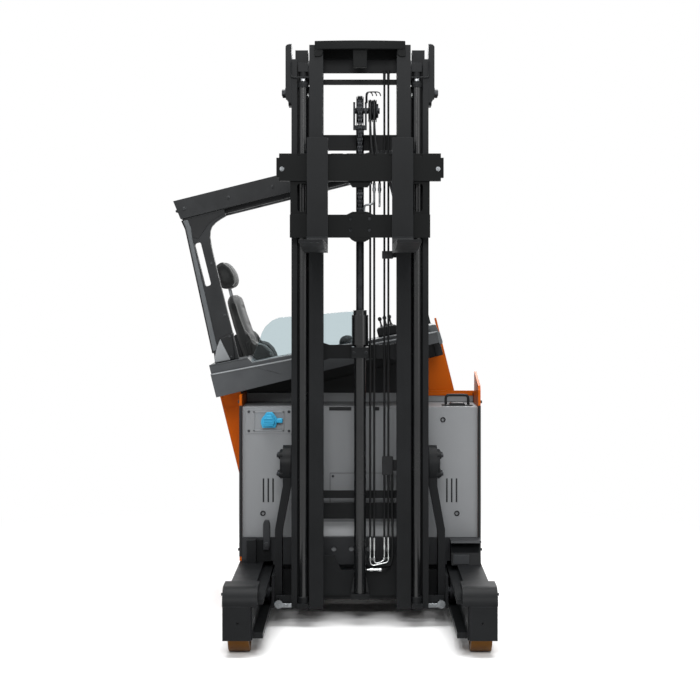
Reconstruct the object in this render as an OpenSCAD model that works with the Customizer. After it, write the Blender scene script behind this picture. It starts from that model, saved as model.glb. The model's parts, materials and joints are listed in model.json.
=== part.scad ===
// Reach truck with a tilting cab: sizes in millimetres, +Z up, forks towards -Y

/* [Support legs] */
// Width over the wheel covers of the two legs
truck_w = 1272; // [1220:2:1340]
// Width of a leg's box section
leg_w = 123; // [116:1:130]
// Height of the legs' underside
leg_bottom = 80; // [70:1:90]
// Wall of the leg sections
leg_wall = 12; // [8:1:14]

/* [Wheels] */
// Diameter of the load wheels
load_d = 285; // [270:1:300]
// Gap beside the load wheels
wheel_gap = 6.5; // [5:0.5:10]
// Distance from load wheel axle to drive wheel axle
wheelbase = 1450; // [1400:5:1550]
// Diameter of the drive wheel
drive_d = 350; // [320:2:360]
// Width of the drive wheel
drive_w = 115; // [95:1:125]

/* [Chassis] */
// Height of the battery's top
battery_top = 1084; // [1020:2:1096]
// Depth of the battery
battery_l = 360; // [330:2:390]
// Top of the counterweight casting
casting_top = 400; // [380:2:404]

/* [Reach carriage] */
// Height of the mast's tilt pivot
trunnion_z = 806; // [780:2:830]
// Diameter of the mast's tilt pivot pins
trunnion_d = 60; // [48:1:64]
// Diameter of the rollers in the legs' rails
reach_roller_d = 124; // [116:1:130]

/* [Mast] */
// Height of the lowered mast
mast_top = 2938; // [2700:1:3200]
// Height of the rails' lower ends
mast_foot = 93; // [88:1:98]
// Outer diameter of the two lift cylinders
lift_d = 46; // [42:1:47]
// Outer diameter of the free-lift cylinder
free_d = 60; // [52:1:64]
// Diameter over the chain on its sheave
sheave_d = 146; // [130:1:150]

/* [Fork carriage] */
// Drop from the mast's top to the forks' underside in this pose
fork_drop = 1062; // [1040:1:1070]
// Length of the fork blades
fork_l = 1150; // [900:10:1300]
// Width of the forks
fork_w = 104; // [90:1:110]
// Thickness of the forks
fork_t = 40; // [32:1:45]
// Distance between the forks' middle lines
fork_gap = 422; // [400:2:460]
// Width of the upper carriage bar
bar_w = 832; // [780:2:900]

/* [Cab] */
// Lean of the cab towards the seat side
cab_lean = 14; // [0:0.5:16]
// Height of the overhead guard with the cab level
guard_top = 2209; // [2150:1:2300]
// Height of the hinge that the cab leans about
hinge_z = 563; // [558:1:570]
// Height of the seat platform
platform_z = 800; // [780:2:820]
// Top of the orange cab body
tub_top = 1067; // [1040:1:1080]
// Wall of the cab body
tub_wall = 10; // [6:1:12]

/* [Hidden] */
$fn = 64;

// Running fit on the diameter of a pin or rod
fit = 0.6;
// Overlap of a cut past the face that it opens
past = 1;
// Length that one solid sinks into the next of the same piece
sink = 1;

// Places across the truck
half_w = truck_w / 2;
cover_t = 16;
leg_out = half_w - cover_t;
rail_web = leg_out - leg_w;
rail_lip = 47;
leg_in = rail_web - rail_lip;
load_w = leg_w - leg_wall - 2 * wheel_gap;
wheel_mid = rail_web + leg_wall + wheel_gap + load_w / 2;
panel_t = 12;
panel_out = half_w - 12;
side_in = panel_out - panel_t;
arm_out = leg_in - 20;
arm_in = arm_out - 35;
mast_half = leg_in - 106;
window_half = mast_half - 159;
lift_x = mast_half - 59;
reach_x = mast_half - 44;
tilt_x = arm_out - 22;
cab_half = half_w - 18;
riser_x = cab_half - 558;
drive_x = riser_x - 180;
hinge_x = 61 - half_w;
guard_left = 49 - half_w;
guard_right = half_w - 36;
seat_x = 218 - cab_half;
// The chain, its sheave, the cheeks on both sides and the hose wheel beside them, from the mast's middle
chain_half = 13;
sheave_half = chain_half + 5.5;
cheek_t = 10;
cheek_gap = 5.725;
cheek_half = sheave_half + cheek_gap + cheek_t;
hose_wheel = [cheek_half + 7.4, cheek_half + 58.275];

// Places along the truck, from the tips of the legs
wheel_y = 175;
tip_back = wheel_y + load_d / 2 + 29.5;
drive_y = wheel_y + wheelbase;
legs_end = drive_y - 248;
bulkhead_y = legs_end - 12;
battery_y = bulkhead_y - battery_l - 5;
cross_y = battery_y - 15;
mast_y = cross_y - 135;
rear_y = drive_y + 335;
cab_front = legs_end + 8;
cab_l = rear_y - 10 - cab_front;

// Places along the mast's depth, from the tilt pivot
lift_v = -122;
free_v = -85;
face_v = -260;
bar_v = [face_v + 42, face_v + 90];
shank_v = face_v + fork_t;

// Heights
leg_top = load_d + 5;
cover_top = leg_top + 30;
rail_low = leg_bottom + 28;
rail_gap = reach_roller_d + 6;
roller_z = rail_low + rail_gap / 2;
axle_d = 48;
tray_t = 22;
tilt_z = mast_foot + 22;
lift_top = mast_top - 152;
sheave_z = mast_top - 343;
fork_z = mast_top - fork_drop;
roof_z = guard_top - 101;
collar_z = [fork_z - 460, fork_z - 310];

// Middle of the bounding box in plan
lean_x = hinge_x + (guard_left - hinge_x) * cos(cab_lean) - (guard_top - hinge_z) * sin(cab_lean);
tip_y = mast_y + face_v - fork_l;
origin_x = (lean_x + half_w) / 2;
origin_y = (tip_y + rear_y) / 2;

module placed() { translate([-origin_x, -origin_y, 0]) children(); }
module at_mast() { placed() translate([0, mast_y, 0]) children(); }
module in_cab() {
  placed() translate([hinge_x, cab_front, hinge_z]) rotate([0, -cab_lean, 0])
    translate([-hinge_x, 0, -hinge_z]) children();
}
module both() {
  children();
  mirror([1, 0, 0]) children();
}
module box(x, y, z) {
  translate([x[0], y[0], z[0]]) cube([x[1] - x[0], y[1] - y[0], z[1] - z[0]]);
}
module along_x(x) { translate([x[0], 0, 0]) rotate([90, 0, 90]) linear_extrude(x[1] - x[0]) children(); }
module along_y(y) { translate([0, y[1], 0]) rotate([90, 0, 0]) linear_extrude(y[1] - y[0]) children(); }
module along_z(z) { translate([0, 0, z[0]]) linear_extrude(z[1] - z[0]) children(); }
module rod_x(x, y, z, d) { translate([x[0], y, z]) rotate([0, 90, 0]) cylinder(d = d, h = x[1] - x[0]); }
module rod_y(x, y, z, d) { translate([x, y[1], z]) rotate([90, 0, 0]) cylinder(d = d, h = y[1] - y[0]); }
module rod_z(x, y, z, d) { translate([x, y, z[0]]) cylinder(d = d, h = z[1] - z[0]); }
module rounded(a, b, r) {
  translate([a[0] + r, a[1]]) square([b[0] - a[0] - 2 * r, b[1] - a[1]]);
  translate([a[0], a[1] + r]) square([b[0] - a[0], b[1] - a[1] - 2 * r]);
  for (u = [a[0] + r, b[0] - r], v = [a[1] + r, b[1] - r]) translate([u, v]) circle(r);
}

module leg_half() {
  skin = cover_t - 6;
  nose = 20;
  rail_start = 60;
  lip = 24;
  difference() {
    union() {
      box([rail_web, rail_web + leg_wall], [nose, legs_end], [leg_bottom, leg_top]);
      box([leg_out, leg_out + skin], [nose, tip_back], [leg_bottom, leg_top]);
      box([leg_out - leg_wall, leg_out], [tip_back - leg_wall, legs_end], [leg_bottom, leg_top]);
      box([rail_web, leg_out + skin], [tip_back - leg_wall, tip_back], [leg_bottom, leg_top]);
      box([rail_web, leg_out], [tip_back - leg_wall, legs_end], [leg_top - leg_wall, leg_top]);
      box([rail_web, leg_out], [tip_back - leg_wall, legs_end], [leg_bottom, leg_bottom + leg_wall]);
      box([leg_in, rail_web + sink], [rail_start, legs_end], [leg_bottom, rail_low]);
      box([leg_in, rail_web + sink], [rail_start, legs_end], [rail_low + rail_gap, rail_low + rail_gap + lip]);
    }
    box([rail_web - past, half_w + past], [nose - past, nose + 38], [leg_top - 53, leg_top + past]);
    rod_x([rail_web - past, half_w], wheel_y, load_d / 2, axle_d + fit);
  }
}
module support_legs() { color("#26282a") both() leg_half(); }

module cover_half() {
  hood_r = 80;
  hood_y = [4, 240];
  hood_z = leg_top - 53;
  plate_t = 20;
  slope = 28;
  along_x([rail_web - 23, half_w]) difference() {
    union() {
      translate([hood_y[0], hood_z]) square([plate_t, cover_top - hood_z - hood_r]);
      translate([hood_y[0] + hood_r, hood_z])
        square([hood_y[1] - hood_y[0] - hood_r - slope, cover_top - hood_z]);
      translate([hood_y[0] + hood_r, cover_top - hood_r]) circle(hood_r);
      translate([hood_y[1] - slope, leg_top]) polygon([[0, 0], [slope, 0], [0, cover_top - leg_top]]);
    }
    translate([hood_y[0] + 54, leg_bottom]) square([tip_back, leg_top - leg_bottom]);
    translate([-past, leg_bottom]) square([tip_back, hood_z - leg_bottom]);
  }
  difference() {
    box([rail_web + leg_wall - 4, half_w - 2], [0, plate_t], [leg_bottom, hood_z]);
    rod_y(wheel_mid, [-past, plate_t / 2], load_d / 2 + 18, 12);
  }
}
module wheel_covers() { color("#2b2c2e") both() cover_half(); }

module load_axles() {
  color("#8b8d8f") both() rod_x([rail_web, half_w - 6], wheel_y, load_d / 2, axle_d);
}

module chassis_frame() {
  beam_top = leg_top + 121;
  shelf_top = battery_top + 50;
  hole_pitch = 90;
  color("#4a4d50") {
    difference() {
      union() {
        box([-side_in, side_in], [cross_y, battery_y], [leg_top, beam_top]);
        box([-leg_in, leg_in], [cross_y, battery_y], [leg_top - 19, leg_top + sink]);
        box([-side_in, side_in], [cross_y, legs_end], [leg_top, leg_top + tray_t]);
        box([-side_in, side_in], [bulkhead_y, legs_end], [leg_top, shelf_top]);
      }
      for (i = [-1.5:1:1.5])
        rod_y(i * hole_pitch, [cross_y - past, battery_y + past], leg_top + 60, 26);
    }
  }
}

module side_panels() {
  skirt_t = 10;
  ledge = [242, 12];
  low_top = battery_top + 62;
  fin = [battery_top + 111, battery_top + 168];
  fin_end = legs_end - 68;
  color("#b5590f") {
    along_x([side_in, panel_out]) polygon([[cross_y, leg_top], [legs_end, leg_top], [legs_end, low_top],
      [fin_end + 11, low_top], [fin_end, fin[1]], [cross_y + 15, fin[0]], [cross_y, fin[0] - 25]]);
    box([side_in - ledge[0], side_in + sink], [bulkhead_y - 2, legs_end], [low_top - ledge[1], low_top]);
    box([-panel_out, -side_in], [cross_y, legs_end], [leg_top, low_top]);
    box([-panel_out, -panel_out + skirt_t], [legs_end, rear_y - 130], [casting_top, hinge_z - 15]);
  }
}

module battery() {
  vent = [8, 30, 124];
  vent_pitch = 25;
  vent_x = side_in - 137;
  plug_d = 16;
  // Column 0: place across, column 1: height below the battery's top
  plugs = [[109 - side_in, 551], [side_in - 110, 551], [side_in - 182, 66]];
  color("#85878a") difference() {
    box([3 - side_in, side_in - 3], [battery_y, battery_y + battery_l], [leg_top + tray_t, battery_top]);
    for (s = [-1, 1], i = [-1, 0, 1])
      translate([s * vent_x + i * vent_pitch - vent[0] / 2, battery_y - past, battery_top - 494]) cube(vent);
    for (p = plugs) rod_y(p[0], [battery_y - past, battery_y + 6], battery_top - p[1], plug_d);
  }
}
module battery_connector() {
  mid = [141 - side_in, battery_top - 67];
  split = 5;
  color("#4fa3c9") translate([mid[0], battery_y, mid[1]]) {
    along_y([-46, 0]) polygon([[-42, -16], [-33, -40], [36, -38], [46, split], [-40, split]]);
    along_y([-34, 0]) polygon([[-40, split - sink], [46, split - sink], [18, 42], [-11, 42]]);
    along_y([-26, 0]) rounded([40, -14], [72, 12], 8);
  }
}
module battery_handle() {
  x = [side_in - 180, side_in - 27];
  y = battery_y + 100;
  grip = 14;
  post = 12;
  top = battery_top + 54;
  color("#1b1c1d") {
    box(x, [y - 40, y + 50], [battery_top, battery_top + 16]);
    for (u = [x[0] + 8, x[1] - 19]) box([u, u + post], [y - 10, y + 10], [battery_top + 15, top]);
    rod_x([x[0] + 8, x[1] - 7], y, top - 2, grip);
  }
}

module leg_brackets() {
  top = leg_top + 119;
  hood = 145;
  color("#232527") {
    box([31 - side_in, 78 - side_in], [cross_y - 85, cross_y], [leg_top, top]);
    box([77 - side_in, 152 - side_in], [cross_y - 20, cross_y], [leg_top, top - 9]);
    along_x([side_in - 146, panel_out - 8]) polygon([[cross_y, leg_top], [cross_y, top], [cross_y - 45, top],
      [cross_y - hood + 20, top - 59], [cross_y - hood, leg_top]]);
  }
}

module counterweight() {
  r = 120;
  low = leg_bottom + 5;
  pocket_d = drive_d + 50;
  barrel_gap = 40;
  step = [300, 150];
  color("#3a3c3e") difference() {
    union() {
      box([-panel_out, panel_out], [legs_end, rear_y - r], [low, casting_top]);
      box([r - panel_out, panel_out - r], [legs_end, rear_y], [low, casting_top]);
      for (x = [r - panel_out, panel_out - r]) rod_z(x, rear_y - r, [low, casting_top], 2 * r);
    }
    rod_z(drive_x, drive_y, [low - past, casting_top + past], pocket_d);
    box([reach_x - barrel_gap, reach_x + barrel_gap], [legs_end - past, drive_y + 15],
      [roller_z - 43, roller_z + 77]);
    box([panel_out - r, panel_out + past], [drive_y - step[0] / 2 + 25, drive_y + step[0] / 2 + 25],
      [casting_top - step[1], casting_top + past]);
  }
}
module casting_deck() {
  plate = 230;
  plate_t = 20;
  post_t = 20;
  post_w = 54;
  pin_d = 30;
  color("#33363a") {
    difference() {
      box([drive_x - plate, drive_x + plate], [drive_y - plate, drive_y + plate],
        [casting_top, casting_top + plate_t]);
      rod_z(drive_x, drive_y, [casting_top - past, casting_top + plate_t + past], plate + 20);
    }
    for (y = [cab_front + 35, cab_front + 475]) difference() {
      union() {
        box([hinge_x - post_w / 2, hinge_x + post_w / 2], [y, y + post_t], [casting_top, hinge_z]);
        rod_y(hinge_x, [y, y + post_t], hinge_z, post_w);
      }
      rod_y(hinge_x, [y - past, y + post_t + past], hinge_z, pin_d + fit);
    }
  }
}

module reach_barrel() {
  z = roller_z + 17;
  barrel_d = 66;
  bore_d = 44;
  gland_d = 40 + fit;
  y = [cross_y + 20, drive_y + 15];
  color("#2e3032") difference() {
    union() {
      rod_y(reach_x, y, z, barrel_d);
      box([reach_x - 25, reach_x + 25], [y[0] + 5, y[0] + 35], [z, leg_top]);
    }
    rod_y(reach_x, [y[0] + 20, y[1] - 20], z, bore_d);
    rod_y(reach_x, [y[0] - past, y[1] - 40], z, gland_d);
  }
}

module load_wheel() {
  groove = 9;
  face = [wheel_mid - load_w / 2, wheel_mid + load_w / 2];
  tyre = 50;
  color("#9a5a1c") difference() {
    rod_x(face, wheel_y, load_d / 2, load_d);
    rod_x([face[0] - past, face[1] + past], wheel_y, load_d / 2, axle_d + fit);
    for (x = [face[0] - past, face[1] - groove])
      difference() {
        rod_x([x, x + groove + past], wheel_y, load_d / 2, load_d - tyre);
        rod_x([x - past, x + groove + 2 * past], wheel_y, load_d / 2, axle_d + 40);
      }
  }
}
module load_wheel_right() { mirror([1, 0, 0]) load_wheel(); }
module load_wheel_left() { load_wheel(); }

module drive_unit() {
  motor_top = casting_top + 290;
  gear = [drive_w / 2 + 6, drive_w / 2 + 76];
  gear_d = 124;
  hub_d = 60;
  color("#3c3f42") translate([drive_x, drive_y, 0]) {
    rod_z(0, 0, [casting_top - 34, casting_top - fit / 2], 330);
    rod_z(0, 0, [casting_top - sink, motor_top], 230);
    rod_z(0, 0, [motor_top - sink, motor_top + 24], 150);
    box(gear, [-gear_d / 2, gear_d / 2], [drive_d / 2, casting_top - 10]);
    rod_x(gear, 0, drive_d / 2, gear_d);
    rod_x([10 - drive_w / 2, drive_w / 2 + 20], 0, drive_d / 2, hub_d);
  }
}
module drive_wheel() {
  half = drive_w / 2;
  hub_d = 60;
  dish = 4;
  color("#1f2022") translate([drive_x, drive_y, 0]) difference() {
    rod_x([-half, half], 0, drive_d / 2, drive_d);
    rod_x([8 - half, half + past], 0, drive_d / 2, hub_d + fit);
    rod_x([-half - past, dish - half], 0, drive_d / 2, drive_d - 90);
  }
}

module reach_frame() {
  color("#232527") box([sink - arm_out, arm_out - sink], [92, 120], [roller_z - 53, roller_z + 77]);
}
module arm_half() {
  boss = [mast_half + 5, mast_half + 47];
  boss_d = 190;
  flange_t = 14;
  lug_r = 66;
  lug_d = 36;
  bend = trunnion_z - 326;
  low = mast_foot + 46;
  tilt_block = [low - 46, low + sink];
  block_v = [-60, 80];
  difference() {
    union() {
      along_y([-69, 70]) polygon([[arm_out, low], [arm_out, bend], [boss[1], trunnion_z - 106],
        [boss[1], trunnion_z], [boss[0], trunnion_z], [boss[0], trunnion_z - 106], [arm_in, bend - 20],
        [arm_in, low]]);
      box([arm_out - sink, arm_out + 12], [-150, 120], [roller_z - 73, roller_z + 89]);
      rod_x(boss, 0, trunnion_z, boss_d);
      rod_x([boss[1] - sink, boss[1] + flange_t], 0, trunnion_z, boss_d - 40);
      for (a = [45:90:315])
        rod_x([boss[1] - sink, boss[1] + flange_t + 6], lug_r * cos(a), trunnion_z + lug_r * sin(a), lug_d);
      box([tilt_x - 22, tilt_x + 22], block_v, tilt_block);
    }
    rod_x([boss[0] - past, boss[1] + flange_t + past], 0, trunnion_z, trunnion_d + fit);
    rod_y(tilt_x, [block_v[0] + 10, block_v[1] - 15], tilt_z, 32);
    rod_y(tilt_x, [block_v[0] - past, block_v[1] - 15], tilt_z, 28 + fit);
  }
}
module reach_arms() { color("#232527") both() arm_half(); }
module reach_rollers() {
  color("#6f7275") both() for (y = [-80, 65]) {
    rod_x([leg_in + 3, rail_web - 4], y, roller_z, reach_roller_d);
    rod_x([arm_out + 12, leg_in + 4], y, roller_z, 50);
  }
}
module reach_rod() { color("#b9bcbf") rod_y(reach_x, [120, drive_y - 35 - mast_y], roller_z + 17, 40); }
module tilt_rods() {
  eye_d = 42;
  color("#b9bcbf") both() {
    rod_y(tilt_x, [-137, 0], tilt_z, 28);
    rod_y(tilt_x, [-138, -119], tilt_z, eye_d);
    rod_y(tilt_x, [-95, -88], tilt_z, eye_d);
  }
}

module outer_rail() {
  web = 12;
  flange = [28, 14];
  v = [-135, 35];
  rise = [mast_foot, mast_top - 88];
  lug_v = [-114, -99];
  slot_w = 32;
  box([mast_half - web, mast_half], v, rise);
  for (u = [v[0], v[1] - flange[1]]) box([mast_half - flange[0], mast_half], [u, u + flange[1]], rise);
  rod_x([mast_half - sink, mast_half + 61], 0, trunnion_z, trunnion_d);
  difference() {
    box([mast_half - sink, tilt_x + 16], lug_v, [mast_foot, tilt_z + 40]);
    along_y([lug_v[0] - past, lug_v[1] + past])
      rounded([tilt_x - slot_w / 2, mast_foot - slot_w], [tilt_x + slot_w / 2, tilt_z + 25],
        slot_w / 2 - past);
  }
}
module outer_rails() { color("#26272a") both() outer_rail(); }
module outer_ties() {
  // Lower and upper edge of each tie behind the rails
  ties = [[mast_top - 534, mast_top - 454], [mast_foot + 428, mast_foot + 509],
    [mast_foot + 17, mast_foot + 127]];
  foot = [mast_foot, mast_foot + 27];
  bracket = [mast_top - 319, mast_top - 7];
  bracket_t = 16;
  corner = 30;
  bolt_d = 26;
  color("#26272a") {
    for (z = ties) box([-mast_half, mast_half], [35, 50], z);
    both() {
      box([lift_x - 24, mast_half - 28], [-150, -94], foot);
      box([mast_half - 30, mast_half - 12], [-121, -94], foot);
      rod_x([mast_half - 40, mast_half - 12], -39, lift_top + 4, 81.4);
      along_x([mast_half, mast_half + bracket_t]) rounded([-130, bracket[0]], [30, bracket[1]], corner);
      for (y = [-90, -10]) rod_x([mast_half + bracket_t - sink, mast_half + 30], y, bracket[0] + 66, bolt_d);
    }
  }
}
module lift_barrels() {
  z = [mast_foot + 27, lift_top - 46];
  wall = 5;
  rod_d = lift_d - 14;
  color("#2f3134") both() difference() {
    rod_z(lift_x, lift_v, z, lift_d);
    rod_z(lift_x, lift_v, [z[0] + 20, z[1] - 40], lift_d - 2 * wall);
    rod_z(lift_x, lift_v, [z[1] - 50, z[1] + past], rod_d + fit);
  }
}

module middle_rails() {
  rise = [mast_foot + 7, mast_top - 38];
  flange = 12;
  v = [-92, 14];
  color("#1f2022") both() {
    box([mast_half - 54, mast_half - 44], v, rise);
    for (u = [v[0], v[1] - flange]) box([mast_half - 82, mast_half - 18], [u, u + flange], rise);
    box([mast_half - 104, mast_half - 82 + sink], [v[0], v[0] + flange], [rise[0], lift_top - 70]);
  }
}
module middle_ties() {
  ties = [[mast_top - 200, mast_top - 173], [mast_foot + 536, mast_foot + 575]];
  color("#1f2022") {
    for (z = ties) box([36 - mast_half, mast_half - 36], [14, 28], z);
    both() {
      box([mast_half - 82, mast_half - 35], [-144, -92], [lift_top, lift_top + 44]);
      rod_x([window_half + 45, mast_half - 82], -75, lift_top + 4, 121.4);
      rod_x([mast_half - 83, mast_half - 54], -60, lift_top + 4, 30);
    }
  }
}
module lift_rods() {
  color("#b9bcbf") both() rod_z(lift_x, lift_v, [mast_foot + 60, lift_top], lift_d - 14);
}

module inner_rails() {
  rise = [mast_foot, mast_top - 18];
  flange = 14;
  v = [-150, 0];
  color("#2a2b2e") both() {
    box([window_half + 29, window_half + 41], v, rise);
    for (u = [v[0], v[1] - flange]) box([window_half, window_half + 69], [u, u + flange], rise);
  }
}
module inner_ties() {
  reach = window_half + 60;
  foot = [mast_foot + 44, mast_foot + 246];
  notch = [window_half - 55, window_half - 90, 75];
  brace = [collar_z[0] - 74, collar_z[0] - 4];
  flare = 30;
  clamp = 84;
  color("#2a2b2e") {
    along_y([0, 8]) difference() {
      translate([-reach, foot[0]]) square([2 * reach, foot[1] - foot[0]]);
      polygon([[-notch[0], foot[1] + past], [notch[0], foot[1] + past], [notch[1], foot[1] - notch[2]],
        [-notch[1], foot[1] - notch[2]]]);
    }
    box([-reach, reach], [0, 8], [mast_top - 143, mast_top - 58]);
    box([-45, 45], [free_v - 40, sink], [foot[0], foot[0] + 25]);
    along_y([0, 8]) polygon([[-reach, brace[0] - flare], [flare - window_half, brace[0]],
      [window_half - flare, brace[0]], [reach, brace[0] - flare], [reach, brace[1] + flare],
      [window_half - flare, brace[1]], [flare - window_half, brace[1]], [-reach, brace[1] + flare]]);
    difference() {
      box([-clamp / 2, clamp / 2], [free_v - clamp / 2, sink], [brace[0] + 8, brace[1] - 8]);
      rod_z(0, free_v, brace, free_d);
    }
    box([0.22 * window_half, window_half - 30], [-42, sink], [foot[1] - 47, foot[1] - 19]);
  }
}
module top_beam() {
  reach = window_half + 42;
  bow = 22;
  steps = 12;
  lid = [mast_top - 18, mast_top];
  front = -162;
  block = [60, 28];
  function bowed(t) = [reach * t, front - bow * (1 - t * t)];
  color("#2a2b2e") {
    along_z([mast_top - 43, mast_top]) polygon(concat([for (i = [-steps:steps]) bowed(i / steps)],
      [[reach, front + 12], [-reach, front + 12]]));
    box([-reach, reach], [front, front + 12], [mast_top - 78, mast_top]);
    box([-reach, reach], [front + 11, 0], lid);
    box([-block[0], block[0]], [front - block[1], front + sink], [mast_top - 118, mast_top]);
  }
}
module free_lift_barrel() {
  foot = mast_foot + 69;
  bore = 44;
  color("#2f3134") difference() {
    union() {
      rod_z(0, free_v, [foot, collar_z[1]], free_d);
      rod_z(0, free_v, collar_z, free_d + 24);
      rod_z(0, free_v, [collar_z[0] + 110, collar_z[1] + 24], free_d + 8);
    }
    rod_z(0, free_v, [foot + 28, collar_z[1] - 30], bore);
    rod_z(0, free_v, [collar_z[0], collar_z[1] + 24 + past], 40 + fit);
  }
}
module mast_hoses() {
  hose = 11;
  low = mast_foot + 227;
  wall_run = 0.67 * window_half;
  wheel_run = hose_wheel[0] + 10.175;
  pitch = 20.35;
  color("#161718") for (i = [0, 1]) {
    rod_z(wall_run + i * pitch, -12, [low, mast_top - 143], hose);
    rod_z(wheel_run + i * pitch, free_v + 52, [low, sheave_z], hose);
  }
}
module chain_rear() {
  v = free_v + sheave_d / 2;
  color("#55575a") box([-chain_half, chain_half], [v - 8, v], [collar_z[0] + 24, sheave_z]);
}
module free_lift_rod() {
  head = sheave_z - 95;
  color("#b9bcbf") {
    rod_z(0, free_v, [mast_foot + 1012, head + 10], 40);
    box([-cheek_half, cheek_half], [free_v - 30, free_v + 30], [head, head + 20]);
    for (x = [-cheek_half, cheek_half - cheek_t])
      along_x([x, x + cheek_t]) rounded([free_v - 30, head + 19], [free_v + 30, sheave_z + 45], 28);
    for (x = [-cheek_half, cheek_half - cheek_t])
      box([x, x + cheek_t], [free_v - 30, free_v + 30], [head + 19, sheave_z]);
    rod_x([-cheek_half, hose_wheel[1] + 7], free_v, sheave_z, 30);
  }
}
module chain_sheave() {
  // Column 0: near face, column 1: far face, column 2: diameter of each wheel on the pin
  wheels = [[-sheave_half, sheave_half, sheave_d - 16], [hose_wheel[0], hose_wheel[1], 92]];
  color("#3c3f42") for (w = wheels) difference() {
    rod_x([w[0], w[1]], free_v, sheave_z, w[2]);
    rod_x([w[0] - past, w[1] + past], free_v, sheave_z, 30 + fit / 3);
  }
}

module carriage_bars() {
  upper = [fork_z + 358, fork_z + 495];
  lower = [fork_z + 77, fork_z + 191];
  low_half = bar_w / 2 - 67;
  pattern = [95, 58];
  bolt_d = 18;
  slot_pitch = bar_w / 11;
  slot = [18, 14];
  end_t = 14;
  lobe = [60, 38, 30];
  color("#222325") {
    difference() {
      union() {
        box([end_t - bar_w / 2, bar_w / 2 - end_t], bar_v, upper);
        box([-bar_w / 2, bar_w / 2], [bar_v[0] + 4, bar_v[1]], [upper[0] + 17, upper[1] - 21]);
        along_y([bar_v[0] + 20, bar_v[1]]) polygon([[-lobe[0], upper[0] + sink], [lobe[0], upper[0] + sink],
          [lobe[1], upper[0] - lobe[2]], [-lobe[1], upper[0] - lobe[2]]]);
      }
      for (i = [-4:4])
        translate([i * slot_pitch - slot[0] / 2, bar_v[0] - past, upper[1] - slot[1]])
          cube([slot[0], 25, slot[1] + past]);
    }
    difference() {
      union() {
        box([-low_half, low_half], bar_v, lower);
        along_y([bar_v[0] + 20, bar_v[1]]) polygon([[-lobe[0] - 10, lower[1] - sink],
          [lobe[0] + 10, lower[1] - sink], [lobe[1], lower[1] + lobe[2] / 2],
          [-lobe[1], lower[1] + lobe[2] / 2]]);
      }
      for (s = [-1, 1], t = [-1, 1])
        rod_y(s * pattern[0] / 2, [bar_v[0] - past, bar_v[0] + bolt_d], lower[0] + 66 + t * pattern[1] / 2,
          bolt_d);
    }
    box([-24, 24], [bar_v[1] - sink, bar_v[1] + 36], [lower[0] + 73, lower[0] + 99]);
  }
}
module carriage_plates() {
  cheek = [window_half - 22, window_half - 6];
  upright = [bar_w / 2 - 148, bar_w / 2 - 69];
  color("#222325") both() {
    box(cheek, [bar_v[1], -24], [fork_z + 77, fork_z + 495]);
    difference() {
      box(upright, [bar_v[0] + 13, bar_v[1] - 15], [fork_z + 191, fork_z + 358]);
      along_y([bar_v[0], bar_v[1]])
        rounded([upright[0] - 20, fork_z + 207], [upright[1] - 34, fork_z + 346], 15);
    }
  }
}
module carriage_rollers() {
  color("#6f7275") both() for (z = [140, 430])
    rod_x([window_half - 6, window_half + 26], -75, fork_z + z, 116);
}
module chain_front() {
  v = free_v - sheave_d / 2;
  color("#55575a") box([-chain_half, chain_half], [v, v + 8], [fork_z + 176, sheave_z]);
}

module fork(side) {
  mid = side * fork_gap / 2;
  tip_v = face_v - fork_l;
  shank_top = fork_z + 571;
  heel_r = fork_t;
  tip_t = 11;
  taper = 420;
  tip_angle = 12;
  difference() {
    along_x([mid - fork_w / 2, mid + fork_w / 2]) {
      polygon([[tip_v, fork_z + fork_t], [tip_v, fork_z + fork_t - tip_t], [tip_v + taper, fork_z],
        [shank_v - heel_r, fork_z], [shank_v - heel_r, fork_z + heel_r], [shank_v, fork_z + heel_r],
        [shank_v, shank_top], [face_v, shank_top], [face_v, fork_z + fork_t]]);
      translate([shank_v - heel_r, fork_z + heel_r]) circle(heel_r);
    }
    for (s = [-1, 1]) translate([mid + s * fork_w / 2, tip_v, fork_z - past]) rotate([0, 0, s * -tip_angle])
      translate([-(1 - s) * 30, -60, 0]) cube([60, 160, fork_t + 2 * past]);
  }
  box([mid - fork_w / 2, mid + fork_w / 2], [face_v, bar_v[1] - 12], [fork_z + 495.2, fork_z + 525]);
}
module fork_right() { color("#232426") fork(-1); }
module fork_left() { color("#232426") fork(1); }

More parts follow.
